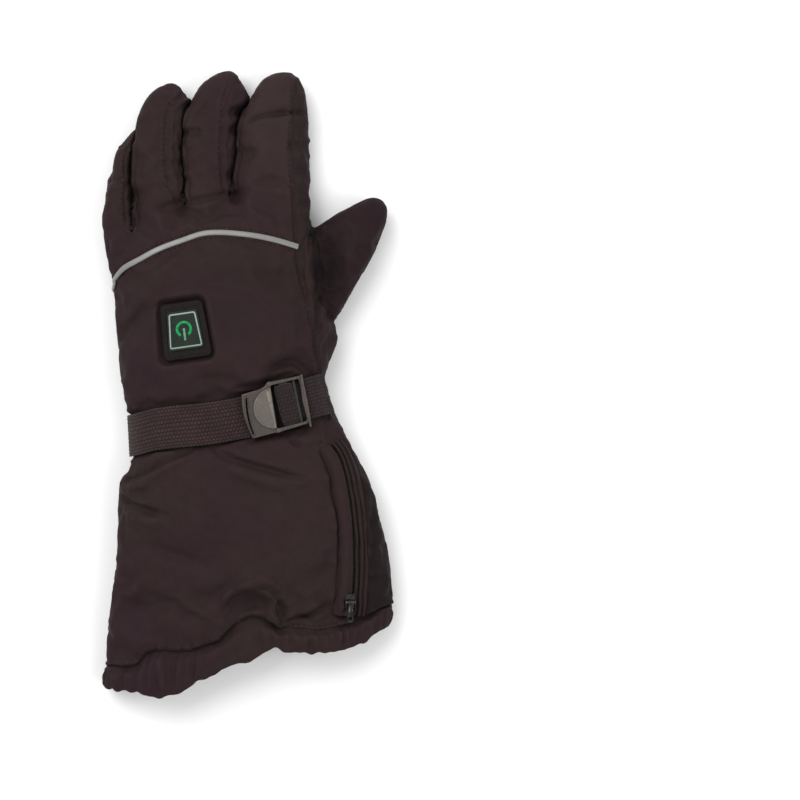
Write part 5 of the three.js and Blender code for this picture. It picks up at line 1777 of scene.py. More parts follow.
def reflective_looks():
    looks = Looks("reflective_band", 0.4, Sheen_Weight=0.1)
    beads = looks.node("ShaderNodeTexVoronoi", {"Vector": looks.place, "Scale": 2400.0}).outputs["Distance"]
    dust = looks.noise(11, 4.0, 0.6)
    shine = looks.span(dust, 0.35, 0.7, 0.0, 0.5)
    base = looks.blend(shine, tone(0.145, 0.143, 0.14), tone(0.1, 0.097, 0.094))
    looks.colour(looks.blend(looks.span(beads, 0.0, 0.5, 0.0, 0.2), base, tone(0.25, 0.25, 0.25)))
    looks.rough(looks.span(dust, 0.3, 0.7, 0.3, 0.5))
    looks.bump(beads, 0.25, 0.05)
    return looks.material


def plastic_looks(name, dark, light, rough, grain, gloss=0.35):
    """Moulded plastic or rubber, mottled between two colours and pale at its sharp edges, partly wear and
    partly painted highlight.
    """
    looks = Looks(name, rough, Specular_IOR_Level=gloss)
    clouds = looks.noise(8, 4.0, 0.6)
    base = looks.blend(looks.span(clouds, 0.3, 0.7), dark, light)
    scuffs = looks.span(looks.noise(1.6, 5.0, 0.75, seed=0.5), 0.45, 0.75)
    # Pale sharp edges: partly wear, partly painted highlight.
    edges = looks.math("MULTIPLY", looks.edge_wear_and_highlight(0.505, 0.57), looks.span(looks.noise(2.4, 4.0), 0.2, 0.5))
    pale = times(light, 2.6)
    base = looks.blend(looks.math("MULTIPLY", edges, 0.75), base, pale)
    looks.colour(looks.blend(looks.math("MULTIPLY", scuffs, 0.08), base, pale))
    looks.rough(looks.span(scuffs, 0.0, 1.0, rough, rough + 0.2))
    looks.bump(looks.noise(grain, 3.0, 0.7), 0.18, 0.06)
    return looks.material


def ink_looks():
    # The printed line glows faintly: a painted glow, as print gives no light.
    looks = Looks("printed_line", 0.45, Emission_Color=tone(0.5, 1.0, 0.7), Emission_Strength=0.03)
    patches = looks.noise(1.2, 4.0, 0.6)
    share = looks.span(patches, 0.3, 0.7)
    looks.colour(looks.blend(share, tone(0.125, 0.185, 0.155), tone(0.19, 0.235, 0.205)))
    looks.rough(looks.span(patches, 0.3, 0.7, 0.35, 0.55))
    looks.bump(patches, 0.1, 0.05)
    return looks.material


def light_looks(name, low, high, strength):
    """A translucent plate that is lit from behind."""
    looks = Looks(name, 0.35, Specular_IOR_Level=0.1, Emission_Strength=strength)
    glow = looks.noise(1.4, 2.0)
    lit = looks.blend(looks.span(glow, 0.3, 0.7), low, high)
    looks.colour(lit)
    looks.feed(looks.shader.inputs["Emission Color"], lit)
    looks.rough(looks.span(glow, 0.3, 0.7, 0.25, 0.4))
    return looks.material


def tape_looks():
    """Herringbone tape beside the zip's coil."""
    looks = Looks("zip_tape_cloth", 0.85, Sheen_Weight=0.2)
    run = looks.attribute("run")
    side = looks.attribute("side")
    zigzag = looks.math("PINGPONG", side, 0.9)
    slant = looks.math("ADD", run, zigzag)
    inputs = {"Vector": looks.node("ShaderNodeCombineXYZ", {"X": slant}).outputs[0], "Scale": 0.45}
    twill = looks.node("ShaderNodeTexWave", inputs, wave_type="BANDS").outputs["Fac"]
    looks.colour(looks.blend(twill, tone(0.01, 0.008, 0.009), tone(0.03, 0.023, 0.024)))
    looks.rough(looks.span(looks.noise(2.0), 0.3, 0.7, 0.75, 0.9))
    looks.bump(twill, 0.6, 0.15)
    return looks.material


def coil_looks():
    looks = Looks("zip_coil_nylon", 0.42)
    streaks = looks.noise(0.7, 3.0, 0.6)
    share = looks.span(streaks, 0.3, 0.7)
    looks.colour(looks.blend(share, tone(0.012, 0.01, 0.011), tone(0.035, 0.03, 0.031)))
    looks.rough(looks.span(streaks, 0.3, 0.7, 0.32, 0.55))
    looks.bump(streaks, 0.2, 0.05)
    return looks.material


def metal_looks():
    looks = Looks("worn_metal", 0.35, Metallic=1.0)
    clouds = looks.noise(2.6, 4.0, 0.6)
    dark = looks.blend(looks.span(clouds, 0.3, 0.7), tone(0.012, 0.011, 0.0105), tone(0.03, 0.028, 0.027))
    wear_and_highlight = looks.math("MULTIPLY", looks.edge_wear_and_highlight(0.53, 0.66), 0.6)
    looks.colour(looks.blend(wear_and_highlight, dark, tone(0.42, 0.4, 0.38)))
    scratches = looks.noise(0.6, 5.0, 0.8, seed=0.9)
    looks.rough(looks.span(scratches, 0.3, 0.7, 0.26, 0.5))
    looks.bump(scratches, 0.15, 0.04)
    return looks.material


# Spots in plan whose colour differs: x, y, half width, half height
INDEX_SPOT = (13.0, 152.0, 34.0, 62.0)
BACK_SPOT = (-12.0, 44.0, 66.0, 38.0)
CUFF_SPOT = (56.0, -18.0, 44.0, 44.0)
# The very dark spot at the thumb's root, used on the thumb below, is painted shade where the thumb lies low
# beside the hand.
THUMB_ROOT_SHADE_SPOT = (45.0, 66.5, 14.0, 33.0)
SHELL = cloth_looks("shell_fabric", tone(0.0205, 0.0108, 0.0134), tone(0.0215, 0.014, 0.0122), 0.95, 0.035,
                    (INDEX_SPOT, tone(0.0262, 0.0165, 0.0158)), (BACK_SPOT, tone(0.0172, 0.0102, 0.0107)))
# Darker than the shell and than the fingers' copy of the same side cloth: partly the side cloth's own colour,
# partly painted shade at the glove's edge and on the thumb-side welt.
SIDE = cloth_looks("side_fabric", tone(0.0175, 0.0102, 0.0118), tone(0.019, 0.0128, 0.0112), 0.8, 0.03)
FINGER_SIDE = cloth_looks("finger_side_fabric", tone(0.0198, 0.0104, 0.0129), tone(0.021, 0.0136, 0.0119),
                          0.9, 0.03)
# The gusset's tones are darker than the shell's, on the same cloth: painted shade, which gives way to a
# shell-like tone at a spot near the top of the cuff.
SHADED_GUSSET = cloth_looks("gusset_fabric", tone(0.0104, 0.0068, 0.0076), tone(0.0118, 0.0086, 0.0076), 0.85, 0.02,
                     (CUFF_SPOT, tone(0.02, 0.0115, 0.0133)))
# The thumb's tones are darker than the shell's, on the same cloth: painted shade of the lower-lying thumb.
THUMB_SHADED_TONES = (tone(0.0158, 0.0083, 0.0104), tone(0.0162, 0.0102, 0.0096))
THUMB_PALM = cloth_looks("thumb_palm_fabric", *THUMB_SHADED_TONES, 0.95, 0.025)
THUMB = cloth_looks("thumb_fabric", *THUMB_SHADED_TONES, 0.95, 0.025,
                    (THUMB_ROOT_SHADE_SPOT, tone(0.0032, 0.0022, 0.0022)))
LINING = lining_looks()
WEBBING = webbing_looks("woven_webbing", tone(0.006, 0.0028, 0.0032), tone(0.039, 0.0185, 0.0192))
# A darker copy of the strap's webbing for the anchor's tail, which lies in shade: painted shade.
SHADED_TAIL_WEBBING = webbing_looks("tail_webbing_painted_shade", tone(0.0065, 0.0035, 0.004), tone(0.025, 0.013, 0.0138))
THREAD = thread_looks()
REFLECTIVE = reflective_looks()
RUBBER = plastic_looks("switch_rubber", tone(0.0045, 0.0032, 0.0032), tone(0.0095, 0.0068, 0.0065),
                       0.58, 0.3, 0.08)
BUCKLE_PLASTIC = plastic_looks("buckle_plastic", tone(0.024, 0.0195, 0.0165), tone(0.041, 0.0335, 0.0285),
                               0.3, 0.5)
# A lighter copy of the buckle's plastic for the raised tab: painted highlight.
LIT_TAB_PLASTIC = plastic_looks("tab_plastic_painted_highlight", tone(0.05, 0.0425, 0.036), tone(0.072, 0.062, 0.053), 0.42, 0.4)
# A darker copy of the buckle's plastic for the bars low in its window: painted shade.
SHADED_BAR_PLASTIC = plastic_looks("shaded_plastic", tone(0.009, 0.0082, 0.0075), tone(0.016, 0.0145, 0.013),
                            0.4, 0.4, 0.25)
INK = ink_looks()
GREEN = light_looks("green_light", tone(0.001, 0.12, 0.032), tone(0.01, 0.2, 0.072), 0.34)
PALE_GREEN = light_looks("pale_green_light", tone(0.05, 0.17, 0.095), tone(0.12, 0.24, 0.155), 0.1)
KEY_FACE = plastic_looks("lit_key_face", tone(0.004, 0.0055, 0.0045), tone(0.01, 0.0145, 0.011),
                         0.5, 0.3, 0.1)
TAPE = tape_looks()
COIL = coil_looks()
METAL = metal_looks()


def finish_piece(piece, slot, *replaced, body="glove", fill=None):
    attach(piece, body)
    if replaced:
        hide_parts(*replaced)


def seated(name, shape, place, material, slot, node, sharp=35, body="glove"):
    """A hard piece in its seat."""
    points, faces = shape
    finish_piece(mesh_object(name, from_seat(points, place), faces, material, sharp), slot, node, body=body)


# The skin is puffed on a coarser mesh, and its moves are shared out to the finer one
lofts = skin_lofts()
body_tree = tree_of(*lofts[0])
WRIST_SEAM = wrist_seam()


def brought_together(spread):
    """The spread skin's points with the fingers back in place, and the finger of each."""
    finger = finger_of(spread)
    points = spread.copy()
    points[:, 0] -= finger_shifts(points[:, 1])[finger, np.arange(len(points))]
    return fitted_fingers(points, finger), finger


def apart(spread, finger):
    """Points with the fingers far apart, so that the nearest point is never on a neighbour."""
    keys = spread.copy()
    keys[:, 0] += 3 * finger_shifts(spread[:, 1])[finger, np.arange(len(spread))]
    return keys


fine_spread, skin_faces = spread_skin(lofts, FINE_VOXEL, 3)
skin, skin_finger = brought_together(fine_spread)
*_, seams = cut_pattern(triangles_of(skin_faces), seam_fields(skin, skin_finger), {"rest": skin.copy()})
coarse_spread, coarse_faces = spread_skin(lofts, COARSE_VOXEL, 2)
coarse, coarse_finger = brought_together(coarse_spread)
reach, *_ = seam_reach(coarse, seams)
past_hem = height_of(HEM_SEAM, coarse[:, 0]) - coarse[:, 1]
hold = 1 - smoothstep(reach, *HELD_BY_SEAMS)
hold = np.maximum(hold, 1 - smoothstep(coarse[:, 2], *HELD_BY_GROUND))
hold = np.maximum(hold, smoothstep(past_hem, *HELD_BY_HEM))
moves = puffed(coarse, coarse_faces, hold)
swollen = skin + shared_moves(moves, apart(coarse_spread, coarse_finger), apart(fine_spread, skin_finger))

rest, rest_faces = subdivided(skin, skin_faces)
swollen, _ = subdivided(swollen, skin_faces)
marks = np.stack([skin_finger * 100.0, np.zeros(len(skin)), np.zeros(len(skin))], axis=1)
finger = np.round(subdivided(marks, skin_faces)[0][:, 0] / 100).astype(int)
rest_triangles = triangles_of(rest_faces)
cloth = sculpted(rest, swollen, rest_triangles, seams)
cloth = shouldered(cloth, rest, finger, vertex_normals(rest, rest_triangles))
cloth = kept_apart(fitted_outline(cloth, rest, finger, seam_fields(rest, finger)["thumb"]), finger)
inner = lining(rest, cloth, rest_triangles)
rest_tree = tree_of(rest, rest_triangles)
triangles, labels, carried, _ = cut_pattern(
    rest_triangles, seam_fields(rest, finger), {"rest": rest, "cloth": cloth, "inner": inner},
)
cloth = carried["cloth"]
cloth_tree = tree_of(cloth, triangles)
CLOTHS = {"side_panel": SIDE, "gauntlet_gusset": SHADED_GUSSET, "thumb_back": THUMB, "thumb_palm": THUMB_PALM}
for name in np.unique(labels):
    on_side = name == "side_panel" or name.startswith("fourchette")
    looks = CLOTHS.get(name, FINGER_SIDE if on_side else SHELL)
    pair = [looks, LINING]
    piece = closed_cloth(name + "_cloth", triangles[labels == name], cloth, carried["inner"], pair)
    finish_piece(piece, "side_cloth" if on_side else "shell_cloth", name, fill=0.5)


# The gathered hem, a row for each ring: how far down the band, how far out and how deep its gathers are
HEM_ROWS = np.array([
    [-0.42, -3.4, 0.0], [-0.2, -2.9, 0.1], [-0.04, -2.1, 0.3], [0.1, -0.3, 0.8], [0.22, 1.1, 1.2],
    [0.42, 1.5, 1.3], [0.6, 1.3, 1.2], [0.76, 1.1, 1.0], [0.88, 0.7, 0.8], [0.96, 0.1, 0.6],
    [1.0, -0.8, 0.4], [0.99, -1.8, 0.2], [0.93, -2.6, 0.3], [0.8, -3.1, 0.6], [0.6, -3.3, 0.7],
    [0.35, -3.8, 0.6], [0.05, -4.6, 0.4], [-0.4, -5.2, 0.2], [-1.0, -5.4, 0.0],
])
HEM_SECTION = {"left": -83.2, "right": 82.5, "top": 33.0, "left_flare": 1.2, "right_draw": 0.6, "drop": 2.0}
HEM_AROUND = 520
HEM_GATHER_SIZE = np.array([3.1, 1.0, 3.1])
HEM_WAVE_SIZE = np.array([8.5, 1.6, 8.5])
HEM_EDGE_SIZE = 5.2
HEM_EDGE_WAVE = 1.6
HEM_TURN = 72.0
HEM_TURN_OUT = 0.8


def hem_rings():
    """Rings from the hem's seam down its outer face, round its edge and up its inner face."""
    rings = []
    angles = full_turn(HEM_AROUND)
    stations = np.arange(0, len(HEM_ROWS) - 1 + 1e-9, 0.5)
    for down, grow, gather in spline(HEM_ROWS, stations):
        row = BODY_ROWS[-1].copy()
        row[0] = HEM_SECTION["left"] - HEM_SECTION["left_flare"] * down
        row[2] = HEM_SECTION["right"] - HEM_SECTION["right_draw"] * down
        row[4] = HEM_SECTION["top"] - HEM_SECTION["drop"] * down
        base = section_points(row[None], BODY_SHAPE, angles, 0.0)[0]
        flat = np.column_stack([base[:, 0], np.full(len(base), down * 0.9), base[:, 2]])
        ripple = noise_at(flat, HEM_GATHER_SIZE, 8) * 1.1 + noise_at(flat, HEM_WAVE_SIZE, 9)
        ripple = np.where(ripple > 0, ripple, 1.5 * ripple)
        edgewise = smoothstep(np.abs(base[:, 0]), HEM_TURN, HEM_TURN + 9)
        closing = smoothstep(down, -0.2, 0.0) * (1 - smoothstep(down, 0.1, 0.35)) * edgewise
        outwards = grow + closing * (HEM_TURN_OUT - grow)
        ring = section_points(row[None], BODY_SHAPE, angles, (outwards + gather * ripple)[None])[0]
        ring[:, 1] = (1 - down) * height_of(HEM_SEAM, ring[:, 0]) + down * height_of(HEM_EDGE, ring[:, 0])
        edge = noise_at(base * np.array([1, 0, 1]), HEM_EDGE_SIZE, 11)
        ring[:, 1] += smoothstep(down, 0.4, 1.0) * edge * HEM_EDGE_WAVE + 0.25 * gather * ripple
        ring[:, 2] = np.maximum(ring[:, 2], 0)
        rings.append(ring)
    return np.array(rings)


def make_hem():
    rings = hem_rings()
    grid, quads = ring_grid(*rings.shape[:2])
    back = np.stack([grid[-1], np.roll(grid[-1], -1), np.roll(grid[0], -1), grid[0]], axis=1)
    points = rings.reshape(-1, 3)
    faces = outward(points, np.concatenate([quads, back]).tolist())
    piece = mesh_object("gathered_hem", points, faces, SHELL)
    finish_piece(piece, "shell_cloth", "hem_band", fill=0.4)


make_hem()


# Webbing
STRAP_EDGE = 0.02
STRAP_FROM = math.radians(196)
STRAP_TO_X = 12.0
STRAP_STEP = 0.5
STRAP_THICK = 1.7
STRAP_LIFT = 0.2
STRAP_CORDS_HIGH = 0.2
ANCHOR_THICK = 1.2
ANCHOR_CORDS_HIGH = 0.17
ANCHOR_STEP = 0.45
WEBBING_EDGE = 0.7
UNDER_POINTS = 9


def webbing_section(width, thick, across):
    """Across positions, as shares of the width, and heights of a strip's top and of its underside."""
    side = np.linspace(-0.5, 0.5, across)
    back = np.linspace(0.5, -0.5, UNDER_POINTS)
    rounding = []
    for places in (side, back):
        edge = np.clip((0.5 - np.abs(places)) * width / WEBBING_EDGE, 0, 1)
        rounding.append(0.5 * np.sqrt(1 - (1 - edge) ** 2))
    return side, thick * (0.5 + rounding[0]), back[1:-1], thick * (0.5 - rounding[1])[1:-1]


def cord_relief(side, run, height):
    """Height of the woven cords and of the picks over them, which fade at the strip's edges."""
    lane = np.floor(side * CORDS)
    cord = np.cos(2 * math.pi * (side * CORDS - lane - 0.5))
    offset = np.where(lane % 2 == 0, 0.0, 0.5)
    woven = 0.5 * cord + 0.5 * np.cos(2 * math.pi * (run / PICK + offset))
    return height * woven * min(1, 12 * (0.5 - abs(side)))


def make_strap():
    """The strap follows the skin's own sections, from under the glove over its top to the buckle."""
    side, top, back, bottom = webbing_section(STRAP_WIDTH, STRAP_THICK, 85)
    end = math.acos(((STRAP_TO_X - WRIST_MIDDLE) / WRIST_HALF) ** (BODY_SHAPE[1] / 2))
    angles = np.linspace(STRAP_FROM, end, 400)
    middle = body_points([STRAP_ROW + 0.5], angles, 0.0)[0]
    along = path_length(middle)
    run = np.arange(0, along[-1], STRAP_STEP)
    angles = np.interp(run, along, angles)
    shares = np.concatenate([side, back]) + 0.5
    rise = np.concatenate([top, bottom])
    rings = np.zeros((len(run), len(shares), 3))
    left = 1 - smoothstep(middle[:, 0], *PINCH_SPAN)
    base = STRAP_LIFT - PINCH * np.interp(run, along, left)
    for k, share in enumerate(shares):
        row = STRAP_ROW + STRAP_EDGE + share * (1 - 2 * STRAP_EDGE)
        grow = base + rise[k]
        if k < len(side):
            grow = grow + cord_relief(side[k], run, STRAP_CORDS_HIGH)
        rings[:, k] = body_points([row], angles, grow[None])[0]
    rings[..., 1] += droop(rings[..., 0])
    piece = mesh_object("webbing_strap", *tube(rings), WEBBING)
    set_attribute(piece, "run", np.repeat(run, len(shares)))
    set_attribute(piece, "side", np.tile((shares - 0.5) * STRAP_WIDTH, len(run)))
    finish_piece(piece, "webbing", "wrist_strap")


# The loop of webbing that holds the buckle, as x and z in the buckle's seat
ANCHOR_PATH = np.array([
    [30.6, -6.3], [27.4, -4.2], [24.5, -2.9], [21.5, -1.55], [18.6, -0.85], [15.0, -0.8], [11.0, -0.75],
    [7.0, -0.7], [4.0, -0.3], [2.6, 0.5], [2.1, 1.8], [2.3, 3.1], [3.2, 3.95], [5.0, 4.3], [7.2, 4.4],
    [9.2, 4.2], [10.6, 3.6], [11.2, 2.6], [11.5, 1.5], [12.6, 0.65], [14.6, 0.45], [16.0, 0.4],
])


def make_anchor():
    path = dense(ANCHOR_PATH, ANCHOR_STEP)
    side, top, back, bottom = webbing_section(ANCHOR_WIDTH, ANCHOR_THICK, 73)
    run = path_length(path)
    centres = np.column_stack([path[:, 0], np.full(len(path), ANCHOR_MIDDLE), path[:, 1]])
    tangent = directions(centres)
    ups = np.column_stack([tangent[:, 2], np.zeros(len(path)), -tangent[:, 0]])
    sections = np.zeros((len(path), len(side) + len(back), 2))
    sections[..., 0] = np.concatenate([side, back]) * ANCHOR_WIDTH
    sections[..., 1] = np.concatenate([top, bottom]) - ANCHOR_THICK / 2
    for k in range(len(side)):
        sections[:, k, 1] += cord_relief(side[k], run, ANCHOR_CORDS_HIGH)
    points, faces = swept(centres, ups, sections)
    piece = mesh_object("webbing_anchor", from_seat(points, BUCKLE_SEAT), faces, SHADED_TAIL_WEBBING)
    set_attribute(piece, "run", np.repeat(run, sections.shape[1]))
    set_attribute(piece, "side", sections[..., 0].ravel())
    finish_piece(piece, "webbing", "buckle_anchor")


make_strap()
make_anchor()


# The buckle: a slotted plate and two rails round a window, a grip bar, an end bar and a pressing tab
BUCKLE_OUTLINE = [
    (-17.5, -12.9), (-4.5, -13.0), (-2.2, -13.5), (1.5, -13.1), (17.3, -12.7), (18.9, 15.2), (2.0, 16.0),
    (-0.8, 16.4), (-3.4, 14.4), (-6.5, 13.6), (-17.3, 13.3), (-18.6, 7.0), (-19.2, 1.0), (-18.7, -6.0),
]
BUCKLE_WINDOW = [(-2.2, -11.0), (15.4, -10.8), (16.8, 13.5), (0.2, 14.0)]
SLOT_LINE = [(-16.5, -11.0), (-17.0, -6.0), (-16.95, 0.0), (-16.2, 6.2), (-15.1, 11.0)]
END_BAR_LINE = [(16.5, -14.8), (16.7, -8.0), (17.1, 1.0), (17.9, 9.0), (18.9, 15.6)]
TAB_MIDDLE = (-1.6, 1.0)
TAB_RADIUS = 11.6
TAB_HIGH = BUCKLE_HIGH + 1.1


def cross_bar(from_x, to_x, low, high, bevel):
    """A bar across the window, which leans as the window's right side does."""
    corners = [(from_x - 0.7, -11.8), (to_x - 0.7, -11.8), (to_x + 0.75, 14.4), (from_x + 0.75, 14.4)]
    return plate(rounded(corners, 0.4, 3), low, high, bevel, steps=3)


def make_buckle():
    top = BUCKLE_HIGH
    slot = strip(SLOT_LINE, [0.35, 0.45, 0.35])
    window = rounded(BUCKLE_WINDOW, 0.9, 5)
    parts = [plate(rounded(BUCKLE_OUTLINE, 0.9, 4), BUCKLE_LOW, top, 0.8, [slot, window], 5)]
    lip = strip(SLOT_LINE, [1.0, 1.3, 1.0])
    parts.append(plate(lip, top - 0.4, top + 0.5, 0.35, [strip(SLOT_LINE, [0.5, 0.6, 0.5])], 3))
    for (x, y), to_point in (((-0.6, 15.1), (15.8, 14.5)), ((-2.2, -12.1), (14.8, -11.8))):
        rail = strip([(x, y), to_point], [1.15, 1.0, 0.8])
        parts.append(plate(rail, top - 1.0, top + 0.9, 0.75, steps=5))
        knob = strip([(x - 1.2, y), (x + 1.4, y)], [0.8, 1.45, 0.9])
        parts.append(plate(knob, top - 0.8, top + 1.3, 0.7, steps=5))
    end_bar = strip(END_BAR_LINE, [0.5, 1.1, 1.45, 1.1, 0.5])
    parts.append(plate(end_bar, top - 0.8, top + 1.5, 0.48, steps=5))
    seated("buckle_body", joined(*parts), BUCKLE_SEAT, BUCKLE_PLASTIC, "buckle_plastic", "buckle_frame", 32)

    parts = [
        cross_bar(12.2, 13.9, BUCKLE_LOW + 0.6, top - 1.1, 0.5),
        cross_bar(4.2, 9.2, BUCKLE_LOW + 0.5, BUCKLE_LOW + 3.0, 0.6),
    ]
    for y in np.arange(-9.6, 12.4, 1.2):
        tooth = rounded([(11.3, y - 0.4), (12.3, y - 0.4), (12.3, y + 0.4), (11.3, y + 0.4)], 0.15, 3)
        parts.append(plate(tooth, BUCKLE_LOW + 1.2, top - 1.4, 0.12, steps=2))
    seated("buckle_bars", joined(*parts), BUCKLE_SEAT, SHADED_BAR_PLASTIC, "buckle_plastic", "buckle_frame", 32)

    moon = rounded(arc(TAB_RADIUS, 85, 263, 40, TAB_MIDDLE), 0.25, 2)
    body = plate(moon, top - 0.6, TAB_HIGH, 0.4, steps=5)
    border = plate(moon, TAB_HIGH - 0.5, TAB_HIGH + 0.3, 0.25, [inset(moon, 0.9)], 3)
    seated("buckle_tab", joined(body, border), BUCKLE_SEAT, LIT_TAB_PLASTIC, "buckle_plastic", "buckle_frame", 40)


make_buckle()


# The reflective band lies on the seam across the knuckles and wraps over the little-finger edge
BAND_SECTION = np.array([
    [-1.6, -0.7], [1.6, -0.7], [1.65, -0.1], [1.4, 0.28], [0.9, 0.42], [0, 0.48], [-0.9, 0.42], [-1.4, 0.28],
    [-1.65, -0.1],
])
BAND_WRAP = np.array([[-80.3, 54.0, 11], [-80.9, 55.2, 16.5], [-80.1, 57.2, 23.5]])
BAND_LINE = np.concatenate([
    [[-78.0, 60.0], [-75.0, 64.0], [-71.4, 67.3]], PIPING_SEAM[3:7], [[-32.5, 84.7]], PIPING_SEAM[7:-1],
])


BAND_STEP = 0.9
BAND_LIFT = 0.1
BAND_END_WIDTH = 0.62


def make_band():
    spots, ups = on_skin(dense(BAND_LINE, 1.5), rest_tree, BAND_LIFT)
    wrap = []
    wrap_ups = []
    for point in BAND_WRAP:
        hit, normal, *_ = rest_tree.find_nearest(Vector(point))
        wrap.append(np.array(hit) + BAND_LIFT * np.array(normal))
        wrap_ups.append(np.array(normal))
    spots = np.concatenate([wrap, spots])
    ups = np.concatenate([wrap_ups, ups])
    path = dense(np.concatenate([spots, ups], axis=1), BAND_STEP)
    widening = smoothstep(np.arange(len(path)) * BAND_STEP, 4, 30)
    narrow = BAND_END_WIDTH + (1 - BAND_END_WIDTH) * widening
    sections = BAND_SECTION[None] * np.stack([narrow, np.ones(len(path))], axis=1)[:, None]
    band = swept(path[:, :3], unit(path[:, 3:]), sections)
    piece = mesh_object("reflective_band", *band, REFLECTIVE, 50)
    finish_piece(piece, "reflective_cord", "reflective_piping")


make_band()


# The heating switch: a rubber pad, a key with a printed frame, and the lit power mark on it
MARK_LOW = KEY_HIGH - 0.1
MARK_HIGH = KEY_HIGH + 0.3
RING_MIDDLE = (0.0, 0.6)
RING_RADIUS = 4.0
RING_LINE = 1.5
RING_GAP = 34
STEM_HALF = 0.62


def make_switch():
    base = plate(trapezoid(PAD), 0.0, PAD_THICK, 1.3, steps=6)
    foot = plate(trapezoid(PAD, 1.1), -0.6, 0.75, 0.5, steps=3)
    step = plate(trapezoid(PAD, -2.2), PAD_THICK - 0.5, PAD_THICK + 0.35, 0.3, [trapezoid(PAD, -3.3)], 3)
    seated("switch_base", joined(base, foot, step), PAD_SEAT, RUBBER, "switch_rubber", "switch_pad")
    key = plate(trapezoid(KEY), KEY_LOW, KEY_HIGH, 0.45, steps=4)
    seated("switch_button", key, PAD_SEAT, KEY_FACE, "switch_rubber", "switch_key")
    line = plate(trapezoid(FRAME_LINE), MARK_LOW, KEY_HIGH + 0.22, 0.1, [trapezoid(FRAME_LINE, -0.85)], 2)
    seated("printed_frame", line, PAD_SEAT, INK, "switch_ink", "switch_frame")
    outer = arc(RING_RADIUS + RING_LINE / 2, RING_GAP - 90, 270 - RING_GAP, 48, RING_MIDDLE)
    inner_arc = arc(RING_RADIUS - RING_LINE / 2, 270 - RING_GAP, RING_GAP - 90, 48, RING_MIDDLE)
    ring = plate(np.concatenate([outer, inner_arc]), MARK_LOW, MARK_HIGH, 0.12, steps=2)
    seated("lit_ring", ring, PAD_SEAT, GREEN, "power_light", "power_ring")
    corners = [(-STEM_HALF, -5.9), (STEM_HALF, -5.9), (STEM_HALF, 1.1), (-STEM_HALF, 1.1)]
    stem = plate(rounded(corners, 0.5, 4), MARK_LOW, MARK_HIGH, 0.12, steps=2)
    seated("lit_stem", stem, PAD_SEAT, PALE_GREEN, "power_light", "power_bar")


make_switch()


# The zip: tapes, coil, two welts that half cover it, slider and pull
ZIP_STEP = 1.2
TOP_SINK = 3.6
TAPE_LOW = -1.9
TAPE_HIGH = -1.15
COIL_PITCH = 1.25
COIL_THICK = 0.36
COIL_LIFT = 0.2
COIL_SLANT = 0.12

# Half a turn of the coil, as distance across the zip and height
COIL_BEND = np.array([(-2.3, -0.95), (-1.7, -0.25), (-0.8, 0.05), (0.1, 0.0), (0.75, -0.35), (0.7, -0.9)])


def zip_path(step=ZIP_STEP):
    """The zip's path on the skin, from the slider upwards, and its upward directions."""
    return on_skin(dense(ZIP_LINE[::-1], step), rest_tree)


def sunk_top(spots, ups):
    """The zip's path, which dives under the cloth at its upper end."""
    run = path_length(spots)
    return spots - ups * (TOP_SINK * (1 - smoothstep(run[-1] - run, 2, 15)))[:, None]


def make_tape(name, from_side, to_side, node):
    spots, ups = zip_path()
    spots = sunk_top(spots, ups)
    section = [(from_side, TAPE_LOW), (to_side, TAPE_LOW), (to_side, TAPE_HIGH), (from_side, TAPE_HIGH)]
    piece = mesh_object(name, *swept(spots, ups, section), TAPE, 40)
    run = path_length(spots)
    set_attribute(piece, "run", np.repeat(run, len(section)))
    set_attribute(piece, "side", np.tile([p[0] for p in section], len(run)))
    finish_piece(piece, "zip_tape", node)


def make_coil():
    """Half turns of a nylon coil, on one side and the other by turns, locked in the middle."""
    spots, ups = zip_path(0.5)
    spots = sunk_top(spots, ups)
    run = path_length(spots)
    across = unit(np.cross(directions(spots), ups))
    angles = full_turn(6)
    parts = []
    for k, place in enumerate(np.arange(2.0, run[-1] - 1.0, COIL_PITCH / 2)):
        way = 1 if k % 2 else -1
        spot, up, side = (
            np.array([np.interp(place, run, line[:, a]) for a in range(3)]) for line in (spots, ups, across)
        )
        side = side * way
        forward = np.cross(up, side)
        rings = []
        for f, (s, r) in enumerate(COIL_BEND):
            centre = spot + side * s + up * (r + COIL_LIFT) + forward * (COIL_SLANT * f * way)
            tangent = COIL_BEND[min(f + 1, len(COIL_BEND) - 1)] - COIL_BEND[max(f - 1, 0)]
            tangent = tangent / np.linalg.norm(tangent)
            normal = side * -tangent[1] + up * tangent[0]
            ring = np.cos(angles)[:, None] * normal + np.sin(angles)[:, None] * forward
            rings.append(centre + COIL_THICK * ring)
        parts.append(tube(rings))
    finish_piece(mesh_object("zip_coil_turns", *joined(*parts), COIL), "zip_coil", "zip_coil")


# Sections of the folded strips of cloth beside the zip, as distance across it and height
HAND_WELT = np.array([
    (-8.8, -2.0), (-8.2, -0.9), (-7.1, 0.4), (-5.8, 1.7), (-4.4, 2.5), (-3.0, 2.8), (-1.6, 2.5), (-0.4, 2.0),
    (0.7, 1.7), (1.15, 1.4), (0.6, 1.2), (-1.0, 1.25), (-2.2, 1.0), (-2.9, -0.2), (-3.6, -1.0), (-6.0, -1.9),
])
THUMB_WELT = np.array([
    (11.4, -2.0), (10.8, -0.7), (9.8, 0.35), (8.9, 0.7), (8.1, -0.15), (7.3, 0.8), (6.4, 1.3), (5.6, 1.0),
    (5.0, 0.0), (4.3, 1.0), (3.6, 1.7), (2.9, 1.7), (2.5, 1.1), (2.6, 0.3), (2.9, -0.4), (5.0, -0.9),
    (8.0, -1.8),
])
WELT_STEP = 0.45
WELT_WAVE_SIZE = 11
WELT_RIPPLE_SIZE = 3.4
SLIDER_ROOM = 3.6
SLIDER_LENGTH = 16
LOWER_END_SINK = 1.1
UPPER_END_SINK = 2.6


